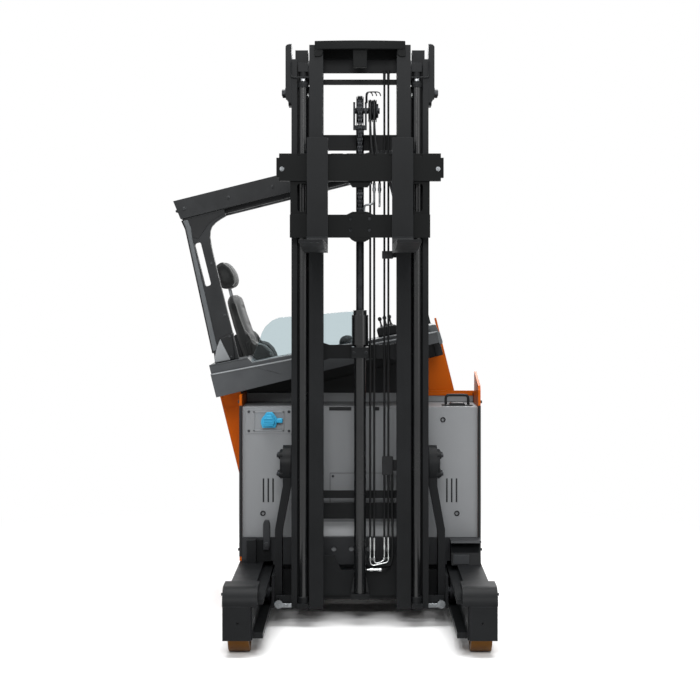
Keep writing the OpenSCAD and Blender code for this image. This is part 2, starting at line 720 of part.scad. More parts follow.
module tub_plan(inset) {
  r = 60 - inset;
  x = cab_half - inset;
  polygon([[-x, inset], [x, inset], [x, cab_l - 60], [x - r, cab_l - inset], [r - x, cab_l - inset],
    [-x, cab_l - 60]]);
  for (u = [r - x, x - r]) translate([u, cab_l - 60]) circle(r);
}
module cab_tub() {
  low = platform_z - 360;
  side_top = tub_top + 93;
  front_top = tub_top + 203;
  door = [85, 455];
  sill = low + 60;
  arm_t = 14;
  color("#c8640f") {
    difference() {
      union() {
        along_z([low, tub_top]) tub_plan(0);
        intersection() {
          along_z([tub_top - sink, front_top]) tub_plan(0);
          along_x([-cab_half, tub_wall - cab_half]) polygon([[0, tub_top - sink], [0, front_top],
            [60, front_top], [125, side_top], [cab_l, side_top], [cab_l, tub_top - sink]]);
        }
        along_x([cab_half - tub_wall, cab_half]) polygon([[0, tub_top - sink], [0, front_top], [30, front_top],
          [door[0], tub_top], [door[0], tub_top - sink]]);
      }
      along_z([low - past, front_top + past]) tub_plan(tub_wall);
      along_y([-past, cab_l + past]) polygon([[-cab_half - past, low - past], [-cab_half - past, hinge_z + 17],
        [hinge_x + 40, hinge_z + 17], [hinge_x + 80, low - past]]);
      along_x([cab_half - 70, cab_half + past]) rounded([door[0], sill], [door[1], front_top], 40);
    }
    for (y = [56, 496]) {
      box([tub_wall - cab_half - sink, hinge_x + 20], [y, y + arm_t], [hinge_z + 18, hinge_z + 97]);
      rod_y(hinge_x, [y, y + arm_t], hinge_z, 50);
      box([hinge_x - 20, hinge_x + 20], [y, y + arm_t], [hinge_z, hinge_z + 40]);
      rod_y(hinge_x, [y - 22, y + sink], hinge_z, 30);
    }
  }
}
module cab_floor() {
  t = 12;
  low = platform_z - 360;
  x = cab_half - tub_wall;
  color("#35373a") along_y([tub_wall, cab_l - 61]) polygon([[x, low], [x, low + t], [riser_x, low + t],
    [riser_x, platform_z], [-x, platform_z], [-x, platform_z - t], [riser_x - t, platform_z - t],
    [riser_x - t, low]]);
}
module dash_frame() {
  color("#1b1c1d") box([tub_wall + 8 - cab_half, cab_half - tub_wall - 18], [tub_wall, tub_wall + 30],
    [platform_z, tub_top + 140]);
}

// Heights of the dash tray's sloping deck and of the shelf under the guard's front post
function deck_z(x) = tub_top + 196 - 0.055 * x;
function shelf_z(x) = tub_top + 229 - 0.049 * x;
module dash_tray() {
  x = [tub_wall + 1 - cab_half, cab_half - 18];
  low = tub_top + 88;
  rim = [tub_top + 210, tub_top + 142];
  shelf = [14 - cab_half, 218 - cab_half];
  depth = [-335, tub_wall];
  color("#4b4d4f") {
    along_y(depth) polygon([[x[0], low], [x[1], low - 3], [x[1] - 8, rim[1]], [x[0], rim[0]]]);
    along_y([depth[0] + 12, depth[1]]) polygon([[shelf[0], low + 40], [x[1] - 30, low + 20],
      [x[1] - 40, deck_z(x[1] - 40)], [shelf[1] + 20, deck_z(shelf[1] + 20)], [shelf[1], shelf_z(shelf[1])],
      [shelf[0], shelf_z(shelf[0])]]);
  }
}
module windshield() {
  v = [-309, -303];
  left = 288 - cab_half;
  right = cab_half - 415;
  // Column 0: place across, column 1: height over the cab body's top
  edge = [[left, 273], [left + 10, 310], [left + 30, 353], [left + 60, 385], [left + 100, 406],
    [left + 140, 413], [right - 20, 353], [right, 345]];
  color("#b9c9cf") along_y(v) polygon(concat([[right, deck_z(right)], [left, deck_z(left)]],
    [for (p = edge) [p[0], tub_top + p[1]]]));
}

module front_post() {
  left = [42 - cab_half, 61 - cab_half];
  right = 166 - cab_half;
  seat = 0.3;
  v = [-225, -170];
  slot = [[85 - cab_half, roof_z - 376], [118 - cab_half, roof_z - 142]];
  // Column 0: place across from the cab's side, column 1: height below the roof, along the inner edge
  inner = [[166, 208], [175, 110], [192, 81], [223, 60], [259, 46], [280, 40], [280, 0]];
  base_h = 135;
  color("#3a3d40") {
    difference() {
      along_y(v) polygon(concat([[left[0], shelf_z(left[0]) + seat], [right, shelf_z(right) + seat]],
        [for (p = inner) [p[0] - cab_half, roof_z - p[1]]],
        [[left[0] + 10, roof_z], [left[1], roof_z - 55]]));
      along_y([v[0] - past, v[1] + past]) rounded(slot[0], slot[1], 10);
    }
    along_y([v[0] - 14, v[1] + 14]) polygon([[left[0] - 5, shelf_z(left[0] - 5) + seat],
      [right - 18, shelf_z(right - 18) + seat], [right + 3, shelf_z(right) + base_h + 10],
      [left[0] + 52, shelf_z(right) + base_h - 4], [left[0] + 3, shelf_z(right) + base_h - 80]]);
  }
}
module guard_posts() {
  post = [26, 80];
  rear = cab_l - 110;
  color("#3a3d40") {
    box([-cab_half, post[0] - cab_half], [rear, rear + post[1] - 35], [tub_top + 93, roof_z]);
    box([cab_half - 58, cab_half - 20], [rear + 5, rear + 45], [platform_z - 348, roof_z]);
  }
}
module guard_roof() {
  v = [-235, cab_l - 20];
  beam = 50;
  slant = 15;
  bar = [36, 40];
  bars = 5;
  pitch = 180;
  inside = [v[0] + beam - sink, v[1] - beam + sink];
  lintel = [280 - cab_half, guard_right];
  color("#3a3d40") {
    for (u = [v[0], v[1] - beam]) along_y([u, u + beam]) polygon([[guard_left, guard_top],
      [guard_right, guard_top], [guard_right, roof_z], [guard_left + slant, roof_z]]);
    box([guard_left + slant, guard_left + 65], inside, [roof_z, guard_top - 10]);
    box([guard_right - 45, guard_right], inside, [roof_z, guard_top - 10]);
    for (i = [-(bars - 1) / 2:(bars - 1) / 2])
      box([i * pitch - bar[0] / 2, i * pitch + bar[0] / 2], inside, [roof_z + 30, roof_z + 30 + bar[1]]);
    box(lintel, [v[0] + 65, v[0] + 90], [roof_z - 26, roof_z + 30 + sink]);
  }
}

module seat_frame() {
  mid = 255;
  base = [seat_x, seat_x + 320];
  half = 140;
  top = platform_z + 200;
  color("#1b1c1d") {
    box(base, [mid - half, mid + half], [platform_z, platform_z + 40]);
    box([base[0] + 40, base[1] - 40], [mid - half + 30, mid + half - 30], [platform_z + 39, top - 39]);
    box([base[0] - 30, base[1] + 60], [mid - half - 20, mid + half + 20], [top - 40, top]);
  }
}
module seat_cushion() {
  mid = 255;
  half = 195;
  low = platform_z + 200;
  color("#232425") along_y([mid - half, mid + half]) {
    rounded([seat_x - 30, low], [riser_x - 30, low + 90], 30);
  }
}
module seat_back() {
  mid = 255;
  half = 210;
  low = platform_z + 290.3;
  rise = 584;
  corner = 70;
  wing_t = 60;
  // Column 0: place behind or before the seat's back line, column 1: height over the cushion
  profile = [[40, 0], [28, 208], [10, 355], [1, 455], [-2, 564], [-20, 584], [-62, 584], [-78, 554],
    [-74, 400], [-55, 200], [-40, 0]];
  wing = [[20, 0], [100, 0], [124, 100], [124, 198], [115, 231], [90, 272], [54, 298], [16, 355], [-5, 355]];
  head = [-95, 20];
  color("#1b1c1d") translate([seat_x, mid, low]) {
    intersection() {
      along_y([-half, half]) polygon(profile);
      along_x([-100, 60]) rounded([-half, 0], [half, rise], corner);
    }
    for (y = [-half, half - wing_t]) along_y([y, y + wing_t]) polygon(wing);
    for (y = [-60, 60]) rod_z(-45, y, [rise - 30, rise + 40], 14);
    along_y([-130, 130]) rounded([head[0], rise + 10], [head[1], rise + 166], 45);
  }
}
module rear_console() {
  x = [cab_half - 538, cab_half - 98];
  v = [385, cab_l - 61];
  low = platform_z - 348;
  color("#4b4d4f") {
    along_x(x) polygon([[v[0], low], [v[1], low], [v[1], tub_top + 20], [v[0] + 50, tub_top + 20],
      [v[0], tub_top - 40]]);
    translate([x[0] + 170, v[0] + 60, tub_top]) rotate([12, 0, 0]) cylinder(d = 70, h = 60);
  }
}
module steering_wheel() {
  rim = 24;
  wheel_d = 230;
  color("#1b1c1d") translate([cab_half - 368, 445, tub_top]) rotate([12, 0, 0]) translate([0, 0, 60]) {
    rotate_extrude() translate([wheel_d / 2 - rim / 2, 14]) circle(d = rim);
    cylinder(d = 84, h = 26);
    for (a = [90, 210, 330]) rotate([0, 0, a]) translate([30, -14, 6]) cube([wheel_d / 2 - 42, 28, 14]);
  }
}
module hand_controls() {
  seat = 0.3;
  dome = [cab_half - 498, -95];
  dome_d = 84;
  pod = [cab_half - 328, cab_half - 218];
  pod_v = [-150, -30];
  pod_low = deck_z(pod[0]) + seat;
  lever = 44;
  lever_pitch = 26;
  knob_d = 22;
  rest = [seat_x + 150, seat_x + 500];
  rest_v = [tub_wall + 30, tub_wall + 110];
  color("#1b1c1d") {
    difference() {
      translate([dome[0], dome[1], deck_z(dome[0]) + 6]) sphere(d = dome_d);
      along_y([dome[1] - dome_d, dome[1] + dome_d]) polygon([[dome[0] - dome_d, tub_top],
        [dome[0] + dome_d, tub_top], [dome[0] + dome_d, deck_z(dome[0] + dome_d) + seat],
        [dome[0] - dome_d, deck_z(dome[0] - dome_d) + seat]]);
    }
    along_y(pod_v) polygon([[pod[0], pod_low], [pod[1], deck_z(pod[1]) + seat], [pod[1], pod_low + lever],
      [pod[0] + 12, pod_low + 52], [pod[0], pod_low + 40]]);
    for (i = [0:2]) translate([pod[0] + 30 + lever_pitch * i, pod_v[0] + 60, pod_low + 40]) {
      cylinder(d = 9, h = lever);
      translate([0, 0, lever + 4]) sphere(d = knob_d);
    }
    along_y(rest_v) rounded([rest[0], tub_top + 90], [rest[1], tub_top + 140], 20);
  }
}

placed() support_legs();
placed() wheel_covers();
placed() load_axles();
placed() chassis_frame();
placed() side_panels();
placed() battery();
placed() battery_connector();
placed() battery_handle();
placed() leg_brackets();
placed() counterweight();
placed() casting_deck();
placed() reach_barrel();
placed() load_wheel_left();
placed() load_wheel_right();
placed() drive_unit();
placed() drive_wheel();
at_mast() reach_frame();
at_mast() reach_arms();
at_mast() reach_rollers();
at_mast() reach_rod();
at_mast() tilt_rods();
at_mast() outer_rails();
at_mast() outer_ties();
at_mast() lift_barrels();
at_mast() middle_rails();
at_mast() middle_ties();
at_mast() lift_rods();
at_mast() inner_rails();
at_mast() inner_ties();
at_mast() top_beam();
at_mast() free_lift_barrel();
at_mast() mast_hoses();
at_mast() chain_rear();
at_mast() free_lift_rod();
at_mast() chain_sheave();
at_mast() carriage_bars();
at_mast() carriage_plates();
at_mast() carriage_rollers();
at_mast() chain_front();
at_mast() fork_left();
at_mast() fork_right();
in_cab() cab_tub();
in_cab() cab_floor();
in_cab() dash_frame();
in_cab() dash_tray();
in_cab() windshield();
in_cab() front_post();
in_cab() guard_posts();
in_cab() guard_roof();
in_cab() seat_frame();
in_cab() seat_cushion();
in_cab() seat_back();
in_cab() rear_console();
in_cab() steering_wheel();
in_cab() hand_controls();
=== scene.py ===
"""Looks for a reach truck with a tilting cab: finishes, upholstery, chains, hoses, fasteners and trim."""
import json
import math

import bmesh
import bpy
from mathutils import Matrix, Vector
from mathutils.bvhtree import BVHTree


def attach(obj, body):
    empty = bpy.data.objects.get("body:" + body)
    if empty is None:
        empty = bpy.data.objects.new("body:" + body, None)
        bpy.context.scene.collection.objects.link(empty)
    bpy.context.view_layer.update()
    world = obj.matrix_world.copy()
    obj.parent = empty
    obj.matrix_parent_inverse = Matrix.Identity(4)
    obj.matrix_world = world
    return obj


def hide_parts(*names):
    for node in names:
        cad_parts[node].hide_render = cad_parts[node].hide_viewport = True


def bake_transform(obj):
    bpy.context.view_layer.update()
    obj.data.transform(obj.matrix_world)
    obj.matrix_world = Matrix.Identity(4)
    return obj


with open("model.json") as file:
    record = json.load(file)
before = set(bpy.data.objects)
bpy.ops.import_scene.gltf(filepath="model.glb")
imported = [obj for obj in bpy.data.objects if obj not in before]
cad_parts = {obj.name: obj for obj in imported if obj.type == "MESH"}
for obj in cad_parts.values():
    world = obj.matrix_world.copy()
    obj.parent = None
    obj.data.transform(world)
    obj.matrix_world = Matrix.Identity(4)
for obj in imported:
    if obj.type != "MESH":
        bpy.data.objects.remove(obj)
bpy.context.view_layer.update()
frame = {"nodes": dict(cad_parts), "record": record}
nodes = frame["nodes"]
scene = bpy.context.scene

# Places in millimetres, as in the part's source: x from the truck's middle, y from the tips of the legs
MM = 0.001
ORIGIN = Vector((-174.42349, 700.0, 0.0))
CAB_FRONT = 1385.0
HINGE_X, HINGE_Z, CAB_LEAN = -575.0, 563.0, 14.0
TO_FRAME = Matrix.Scale(MM, 4) @ Matrix.Translation(-ORIGIN)
# The cab's own places: level, and y from the front of its body
TO_CAB = (
    TO_FRAME
    @ Matrix.Translation((HINGE_X, CAB_FRONT, HINGE_Z))
    @ Matrix.Rotation(math.radians(-CAB_LEAN), 4, "Y")
    @ Matrix.Translation((-HINGE_X, 0, -HINGE_Z))
)


def shade(code):
    """A hex sRGB colour as linear RGBA."""
    parts = [int(code[i : i + 2], 16) / 255 for i in (1, 3, 5)]
    return [p / 12.92 if p <= 0.04045 else ((p + 0.055) / 1.055) ** 2.4 for p in parts] + [1.0]


# Settings that many nodes share
MIXED, TIMES = {"data_type": "RGBA"}, {"operation": "MULTIPLY"}


def add(tree, kind, settings=None, **inputs):
    """One node with its settings; an input is a value, the socket that feeds it, or a list of sockets."""
    made = tree.nodes.new(kind)
    for name, value in (settings or {}).items():
        setattr(made, name, value)
    for name, value in inputs.items():
        by_place = name[0] == "i" and name[1:].isdigit()
        socket = made.inputs[int(name[1:]) if by_place else name.replace("_", " ")]
        sources = value if isinstance(value, list) else [value]
        if isinstance(sources[0], bpy.types.NodeSocket):
            for source in sources:
                tree.links.new(source, socket)
        else:
            socket.default_value = value
    return made


def start(name):
    """An empty node material: the material, its tree, its shader and its Object coordinates."""
    made = bpy.data.materials.new(name)
    made.use_nodes = True
    tree = made.node_tree
    tree.nodes.clear()
    shader = add(tree, "ShaderNodeBsdfPrincipled")
    add(tree, "ShaderNodeOutputMaterial", Surface=shader.outputs[0])
    place = add(tree, "ShaderNodeTexCoord").outputs["Object"]
    return made, tree, shader, place


def feed(tree, shader, **sockets):
    """Links what varies over the surface to the shader's sockets."""
    for name, source in sockets.items():
        tree.links.new(source, shader.inputs[name.replace("_", " ")])


def per_mm(size):
    """A texture's scale for features of that many millimetres."""
    return 1.0 / (size * MM)


SCUFF_MM, OIL_MM, HAZE_MM, FADE_MM, WIPE_MM = 28, 60, 140, 90, 160
# How much longer a tool line on steel is than it is wide
LINE_STRETCH = 60


def paint(name, colour, worn, rough, peel_mm, patch_mm=320, edge_mm=1.6, coat=0.0, dust=0.1, shine=0.12):
    """Sprayed paint on steel: soft patches of dust, orange-peel skin, and edges rubbed lighter."""
    made, tree, shader, place = start(name)
    patches = add(tree, "ShaderNodeTexNoise", Vector=place, Scale=per_mm(patch_mm), Detail=5.0, Roughness=0.6)
    dusty = patches.outputs["Fac"]
    film = add(tree, "ShaderNodeMapRange", Value=dusty, From_Min=0.35, From_Max=0.75, To_Max=dust)
    body = add(tree, "ShaderNodeMix", MIXED, Factor=film.outputs[0], i6=shade(colour), i7=shade(worn))
    soft = add(tree, "ShaderNodeBevel", {"samples": 4}, Radius=edge_mm * MM)
    flat = add(tree, "ShaderNodeNewGeometry").outputs["Normal"]
    turn = add(tree, "ShaderNodeVectorMath", {"operation": "DOT_PRODUCT"}, i0=soft.outputs[0], i1=flat)
    bent = turn.outputs["Value"]
    edge = add(tree, "ShaderNodeMapRange", Value=bent, From_Min=0.995, From_Max=0.86, To_Max=0.9)
    scuff = add(tree, "ShaderNodeTexNoise", Vector=place, Scale=per_mm(SCUFF_MM), Detail=6.0, Roughness=0.7)
    rubbed = add(tree, "ShaderNodeMath", TIMES, i0=edge.outputs[0], i1=scuff.outputs["Fac"])
    skin = add(tree, "ShaderNodeMix", MIXED, Factor=rubbed.outputs[0], i6=body.outputs[2], i7=shade(worn))
    gloss = add(tree, "ShaderNodeMapRange", Value=dusty, From_Min=0.3, From_Max=0.7,
                To_Min=rough - 0.06, To_Max=rough + 0.1)
    peel = add(tree, "ShaderNodeTexNoise", Vector=place, Scale=per_mm(peel_mm), Detail=2.0)
    bump = add(tree, "ShaderNodeBump", Strength=0.12, Distance=0.4 * MM, Height=peel.outputs["Fac"],
               Normal=soft.outputs[0])
    feed(tree, shader, Base_Color=skin.outputs[2], Roughness=gloss.outputs[0], Normal=bump.outputs[0])
    shader.inputs["Specular IOR Level"].default_value = shine
    shader.inputs["Coat Weight"].default_value = coat
    shader.inputs["Coat Roughness"].default_value = 0.12
    return made


def steel(name, colour, dark, rough, line_mm):
    """Ground or rolled steel: fine tool lines and an oily film that dulls it in patches."""
    made, tree, shader, place = start(name)
    lines = add(tree, "ShaderNodeMapping", Vector=place, Scale=(1, 1, LINE_STRETCH))
    line_scale = per_mm(line_mm) / LINE_STRETCH
    grind = add(tree, "ShaderNodeTexNoise", Vector=lines.outputs[0], Scale=line_scale, Detail=3.0)
    film = add(tree, "ShaderNodeTexNoise", Vector=place, Scale=per_mm(OIL_MM), Detail=5.0)
    tone = add(tree, "ShaderNodeMapRange", Value=film.outputs["Fac"], From_Min=0.35, From_Max=0.7)
    body = add(tree, "ShaderNodeMix", MIXED, Factor=tone.outputs[0], i6=shade(colour), i7=shade(dark))
    gloss = add(tree, "ShaderNodeMapRange", Value=grind.outputs["Fac"], From_Min=0.3, From_Max=0.7,
                To_Min=rough - 0.07, To_Max=rough + 0.09)
    bump = add(tree, "ShaderNodeBump", Strength=0.08, Distance=0.2 * MM, Height=grind.outputs["Fac"])
    feed(tree, shader, Base_Color=body.outputs[2], Roughness=gloss.outputs[0], Normal=bump.outputs[0])
    shader.inputs["Metallic"].default_value = 1.0
    return made


def moulded(name, colour, pale, rough, grain_mm, depth=0.25):
    """Moulded plastic or rubber: a leathery grain from the tool and a haze that shows on worn high spots."""
    made, tree, shader, place = start(name)
    grain = add(tree, "ShaderNodeTexVoronoi", {"feature": "SMOOTH_F1"}, Vector=place, Scale=per_mm(grain_mm))
    haze = add(tree, "ShaderNodeTexNoise", Vector=place, Scale=per_mm(HAZE_MM), Detail=4.0)
    worn = haze.outputs["Fac"]
    tone = add(tree, "ShaderNodeMapRange", Value=worn, From_Min=0.4, From_Max=0.8, To_Max=0.35)
    body = add(tree, "ShaderNodeMix", MIXED, Factor=tone.outputs[0], i6=shade(colour), i7=shade(pale))
    gloss = add(tree, "ShaderNodeMapRange", Value=worn, To_Min=rough - 0.08, To_Max=rough + 0.08)
    soft = add(tree, "ShaderNodeBevel", {"samples": 4}, Radius=2.5 * MM)
    bump = add(tree, "ShaderNodeBump", Strength=depth, Distance=0.3 * MM, Height=grain.outputs["Distance"],
               Normal=soft.outputs[0])
    feed(tree, shader, Base_Color=body.outputs[2], Roughness=gloss.outputs[0], Normal=bump.outputs[0])
    shader.inputs["Specular IOR Level"].default_value = 0.15
    return made


def woven(name, colour, pale, panel, thread_mm):
    """Woven upholstery cloth: crossed threads, drawn a little coarse so that they show, with a soft sheen.
    Where a pad's front_panel attribute says so, the cloth is painted paler: a painted highlight on the faces
    turned to the light."""
    made, tree, shader, place = start(name)
    waves = []
    for axis in ("Y", "Z"):
        wave = add(tree, "ShaderNodeTexWave", {"bands_direction": axis}, Vector=place,
                   Scale=per_mm(thread_mm) / 6.283, Distortion=0.6, Detail=1.0)
        waves.append(wave.outputs["Fac"])
    weave = add(tree, "ShaderNodeMath", TIMES, i0=waves[0], i1=waves[1])
    fade = add(tree, "ShaderNodeTexNoise", Vector=place, Scale=per_mm(FADE_MM), Detail=3.0)
    tone = add(tree, "ShaderNodeMath", TIMES, i0=weave.outputs[0], i1=fade.outputs["Fac"])
    # sides is the cloth's own black; middle is the same cloth painted paler, a painted highlight on the faces
    # turned to the light
    sides = add(tree, "ShaderNodeMix", MIXED, Factor=tone.outputs[0], i6=shade(colour), i7=shade(pale))
    middle = add(tree, "ShaderNodeMix", MIXED, Factor=tone.outputs[0], i6=shade(panel), i7=shade(pale))
    front = add(tree, "ShaderNodeAttribute", {"attribute_name": "front_panel"}).outputs["Fac"]
    body = add(tree, "ShaderNodeMix", MIXED, Factor=front, i6=sides.outputs[2], i7=middle.outputs[2])
    bump = add(tree, "ShaderNodeBump", Strength=0.35, Distance=0.6 * MM, Height=weave.outputs[0])
    feed(tree, shader, Base_Color=body.outputs[2], Normal=bump.outputs[0])
    shader.inputs["Roughness"].default_value = 0.88
    shader.inputs["Specular IOR Level"].default_value = 0.15
    shader.inputs["Sheen Weight"].default_value = 0.12
    shader.inputs["Sheen Roughness"].default_value = 0.5
    return made


def clear(name, colour):
    """Clear polycarbonate sheet: see-through, with a faint cool tint and wiping haze.
    Its index is set low so that the thin sheet hardly bends what stands behind it."""
    made, tree, shader, place = start(name)
    wipe = add(tree, "ShaderNodeTexNoise", Vector=place, Scale=per_mm(WIPE_MM), Detail=4.0)
    gloss = add(tree, "ShaderNodeMapRange", Value=wipe.outputs["Fac"], From_Min=0.3, From_Max=0.8,
                To_Min=0.0, To_Max=0.03)
    feed(tree, shader, Roughness=gloss.outputs[0])
    shader.inputs["Base Color"].default_value = shade(colour)
    shader.inputs["IOR"].default_value = 1.25
    shader.inputs["Transmission Weight"].default_value = 1.0
    return made


FINISH = {
    # Deep black that keeps its flats even and shows only a thin grey line along rubbed edges
    "mast_paint": paint("black_powder_coat", "#131415", "#4a4c4f", 0.42, 2.2, dust=0.05, shine=0.08),
    # A dry, slightly dusty dark grey, lighter than the mast
    "frame_grey": paint("dark_grey_powder_coat", "#2a2b2d", "#626567", 0.5, 2.2),
    # Near black, with pale edges where hands and loads rub the guard
    "guard_paint": paint("graphite_powder_coat", "#1b1c1d", "#6a6d70", 0.42, 2.0),
    # Plain mid grey with broad, faint patches on the big flat front
    "battery_grey": paint("battery_tank_grey_enamel", "#787a7c", "#989a9b", 0.5, 2.6, patch_mm=420),
    # Strong orange with a soft highlight that rolls round the bends
    "orange_paint": paint("orange_gloss_enamel", "#a74c03", "#bd6c1a", 0.34, 3.0, coat=0.03, dust=0.04,
                          shine=0.06),
    # Coarse skin left by the sand mould, and wide rounded edges
    "casting_paint": paint("painted_iron_casting", "#26282a", "#56595b", 0.55, 5.0, edge_mm=6.0),
    # Bright bands of the studio along rods and pins, broken by fine lines
    "bright_steel": steel("ground_chromed_steel", "#b9bcbf", "#8d9093", 0.26, 0.8),
    # Dark metal with a wet glint on the edges of plates and pins
    "chain_steel": steel("oiled_dark_steel", "#2c2d2f", "#161718", 0.36, 1.2),
    # Waxy amber brown, smooth where it rolls
    "brown_polyurethane": moulded("cast_polyurethane_tread", "#553408", "#6f4a14", 0.42, 3.0, depth=0.1),
    # Dull black that takes almost no highlight
    "hose_rubber": moulded("hose_cover_rubber", "#121314", "#2a2b2c", 0.55, 1.2),
    # Black with a fine leathery grain that spreads its highlights
    "black_plastic": moulded("grained_black_abs", "#18191a", "#303133", 0.5, 1.6),
    # The same grain in grey, where it can be seen
    "grey_plastic": moulded("grained_grey_abs", "#3d3f41", "#585a5c", 0.5, 1.8),
    # Clear blue with a clean highlight, the one bright accent on the battery
    "blue_plastic": moulded("moulded_blue_nylon", "#2f90b6", "#5fb0d0", 0.36, 1.4, depth=0.1),
    # Soft black cloth with no shine; its faces turned to the front and top are painted paler, a painted
    # highlight
    "seat_fabric": woven("black_woven_seat_cloth", "#191a1a", "#414242", "#5a5b5b", 3.2),
    # Cool, nearly invisible pane whose edges show
    "clear_screen": clear("clear_polycarbonate_sheet", "#c0cfd3"),
}
# Finishes of trim that has no node of its own in the part's source
TRIM = {
    # Light satin grey that outlines the tray and the screen; along the tray's rim and the screen's seal its
    # paleness is a painted highlight
    "pale_trim": moulded("satin_grey_abs_trim", "#7c7f81", "#94979a", 0.42, 1.8, depth=0.15),
    # The same satin, darker than the pale trim yet paler than the grey plastic: a painted highlight on the
    # tray's right end and the post's left edge
    "dim_highlight_trim": moulded("satin_dark_grey_abs", "#4d5052", "#6c6f71", 0.42, 1.8, depth=0.15),
    # Dull grey piping along the pads' front edges; its paleness is a painted highlight
    "piping": moulded("grey_vinyl_piping", "#6f706f", "#8a8b8a", 0.6, 1.0),
    # Black skin with a deeper grain than the plastics
    "vinyl": moulded("black_seat_vinyl", "#1e1f1f", "#3a3b3b", 0.58, 2.0, depth=0.35),
    # Bright white-grey metal on small fittings
    "plated": steel("zinc_plated_steel", "#c4c6c6", "#9a9c9c", 0.3, 0.6),
    # Greyer metal with darker oil marks
    "pipe": steel("bare_steel_pipe", "#7d8082", "#4c4e50", 0.28, 0.6),
    # Glossy black that draws one clear bright line down a barrel
    "cylinder": paint("gloss_black_cylinder_enamel", "#0e0f10", "#4c4e50", 0.22, 1.2, dust=0.03, shine=0.4),
    # Pale flat grey, a lighter band at the battery's foot
    "pale_enamel": paint("pale_grey_enamel", "#9fa1a3", "#b5b7b8", 0.5, 2.6),
    # The blackest paint on the truck, dull on the fork carriage; on the mast's head beam it is also painted
    # shade in the beam's recess
    "carriage": paint("satin_black_carriage_paint", "#0b0c0c", "#3c3e40", 0.46, 2.2, dust=0.05, shine=0.06),
}

for row in frame["record"]["subparts"]:
    holder = nodes[row["node"]].data
    holder.materials.clear()
    holder.materials.append(FINISH[row["material_slot"]])
# Cylinders are sprayed glossier than the mast, the fork carriage blacker, and the reach rollers run in grease
OTHER_FINISH = {
    "lift_barrels": TRIM["cylinder"],
    "free_lift_barrel": TRIM["cylinder"],
    "carriage_bars": TRIM["carriage"],
    "carriage_plates": TRIM["carriage"],
    "reach_rollers": FINISH["chain_steel"],
    "tilt_rods": TRIM["pipe"],
}
for label, finish in OTHER_FINISH.items():
    nodes[label].data.materials[0] = finish


def applied(holder):
    """The plain mesh that an object's modifiers make."""
    return bpy.data.meshes.new_from_object(holder.evaluated_get(bpy.context.evaluated_depsgraph_get()))


def settle(name, mesh, slot, body, finish=None, sharp=38, flat_faces=False):
    """A mesh already in the shared frame becomes a finished piece on a body; without one it is left
    unattached.
    With flat_faces, rounded edges don't bend the shading of the flats between them."""
    drawn = bmesh.new()
    drawn.from_mesh(mesh)
    bmesh.ops.recalc_face_normals(drawn, faces=drawn.faces)
    drawn.to_mesh(mesh)
    drawn.free()
    mesh.name = name
    mesh.materials.clear()
    mesh.materials.append(finish or FINISH[slot])
    mesh.shade_smooth()
    mesh.set_sharp_from_angle(angle=math.radians(sharp))
    made = bpy.data.objects.new(name, mesh)
    scene.collection.objects.link(made)
    if flat_faces:
        even = made.modifiers.new("flat_faces", "WEIGHTED_NORMAL")
        even.keep_sharp = True
        made.data = applied(made)
        made.modifiers.clear()
        made.data.name = name
    if body:
        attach(made, body)
    return made


def piece(name, bm, slot, body, to=TO_FRAME, finish=None, sharp=38):
    """A bmesh drawn in millimetres becomes a finished piece."""
    mesh = bpy.data.meshes.new(name)
    bm.to_mesh(mesh)
    bm.free()
    mesh.transform(to)
    return settle(name, mesh, slot, body, finish, sharp, True)


def round_over(bm, edges, radius, rounds):
    """Rounds some edges over."""
    bmesh.ops.bevel(bm, geom=edges, offset=radius, segments=rounds, profile=0.5, affect="EDGES",
                    clamp_overlap=True)


def block(bm, x, y, z, edge=0.0, rounds=2):
    """A bar or block between three spans, its edges rounded over."""
    made = bmesh.ops.create_cube(bm, size=1.0)["verts"]
    for v in made:
        v.co = [low + (c + 0.5) * (high - low) for c, (low, high) in zip(v.co, (x, y, z))]
    if edge:
        round_over(bm, list({e for v in made for e in v.link_edges}), edge, rounds)


def plate(bm, outline, axis, span, edge=0.0, rounds=2, holes=()):
    """A flat outline, with any holes, carried along an axis; its pairs are the other two axes in order."""
    made, rims = [], []
    for loop in (outline, *holes):
        count = len(loop)
        rings = []
        for t in span:
            corners = [{"x": (t, u, w), "y": (u, t, w), "z": (u, w, t)}[axis] for u, w in loop]
            rings.append([bm.verts.new(corner) for corner in corners])
        near, far = rings
        ahead = [(i + 1) % count for i in range(count)]
        for i, j in enumerate(ahead):
            made.append(bm.faces.new((near[i], far[i], far[j], near[j])))
        rims.append([[bm.edges.get((ring[i], ring[j])) for i, j in enumerate(ahead)] for ring in rings])
    for end in (0, 1):
        edges = [e for rim in rims for e in rim[end]]
        if holes:
            filled = bmesh.ops.triangle_fill(bm, use_beauty=True, use_dissolve=False, edges=edges)["geom"]
            made += [g for g in filled if isinstance(g, bmesh.types.BMFace)]
        else:
            made.append(bmesh.ops.contextual_create(bm, geom=edges)["faces"][0])
    bmesh.ops.recalc_face_normals(bm, faces=made)
    if edge and holes:
        round_over(bm, [e for rim in rims for end in rim for e in end], edge, rounds)
    elif edge:
        round_over(bm, list({e for f in made for e in f.edges}), edge, rounds)


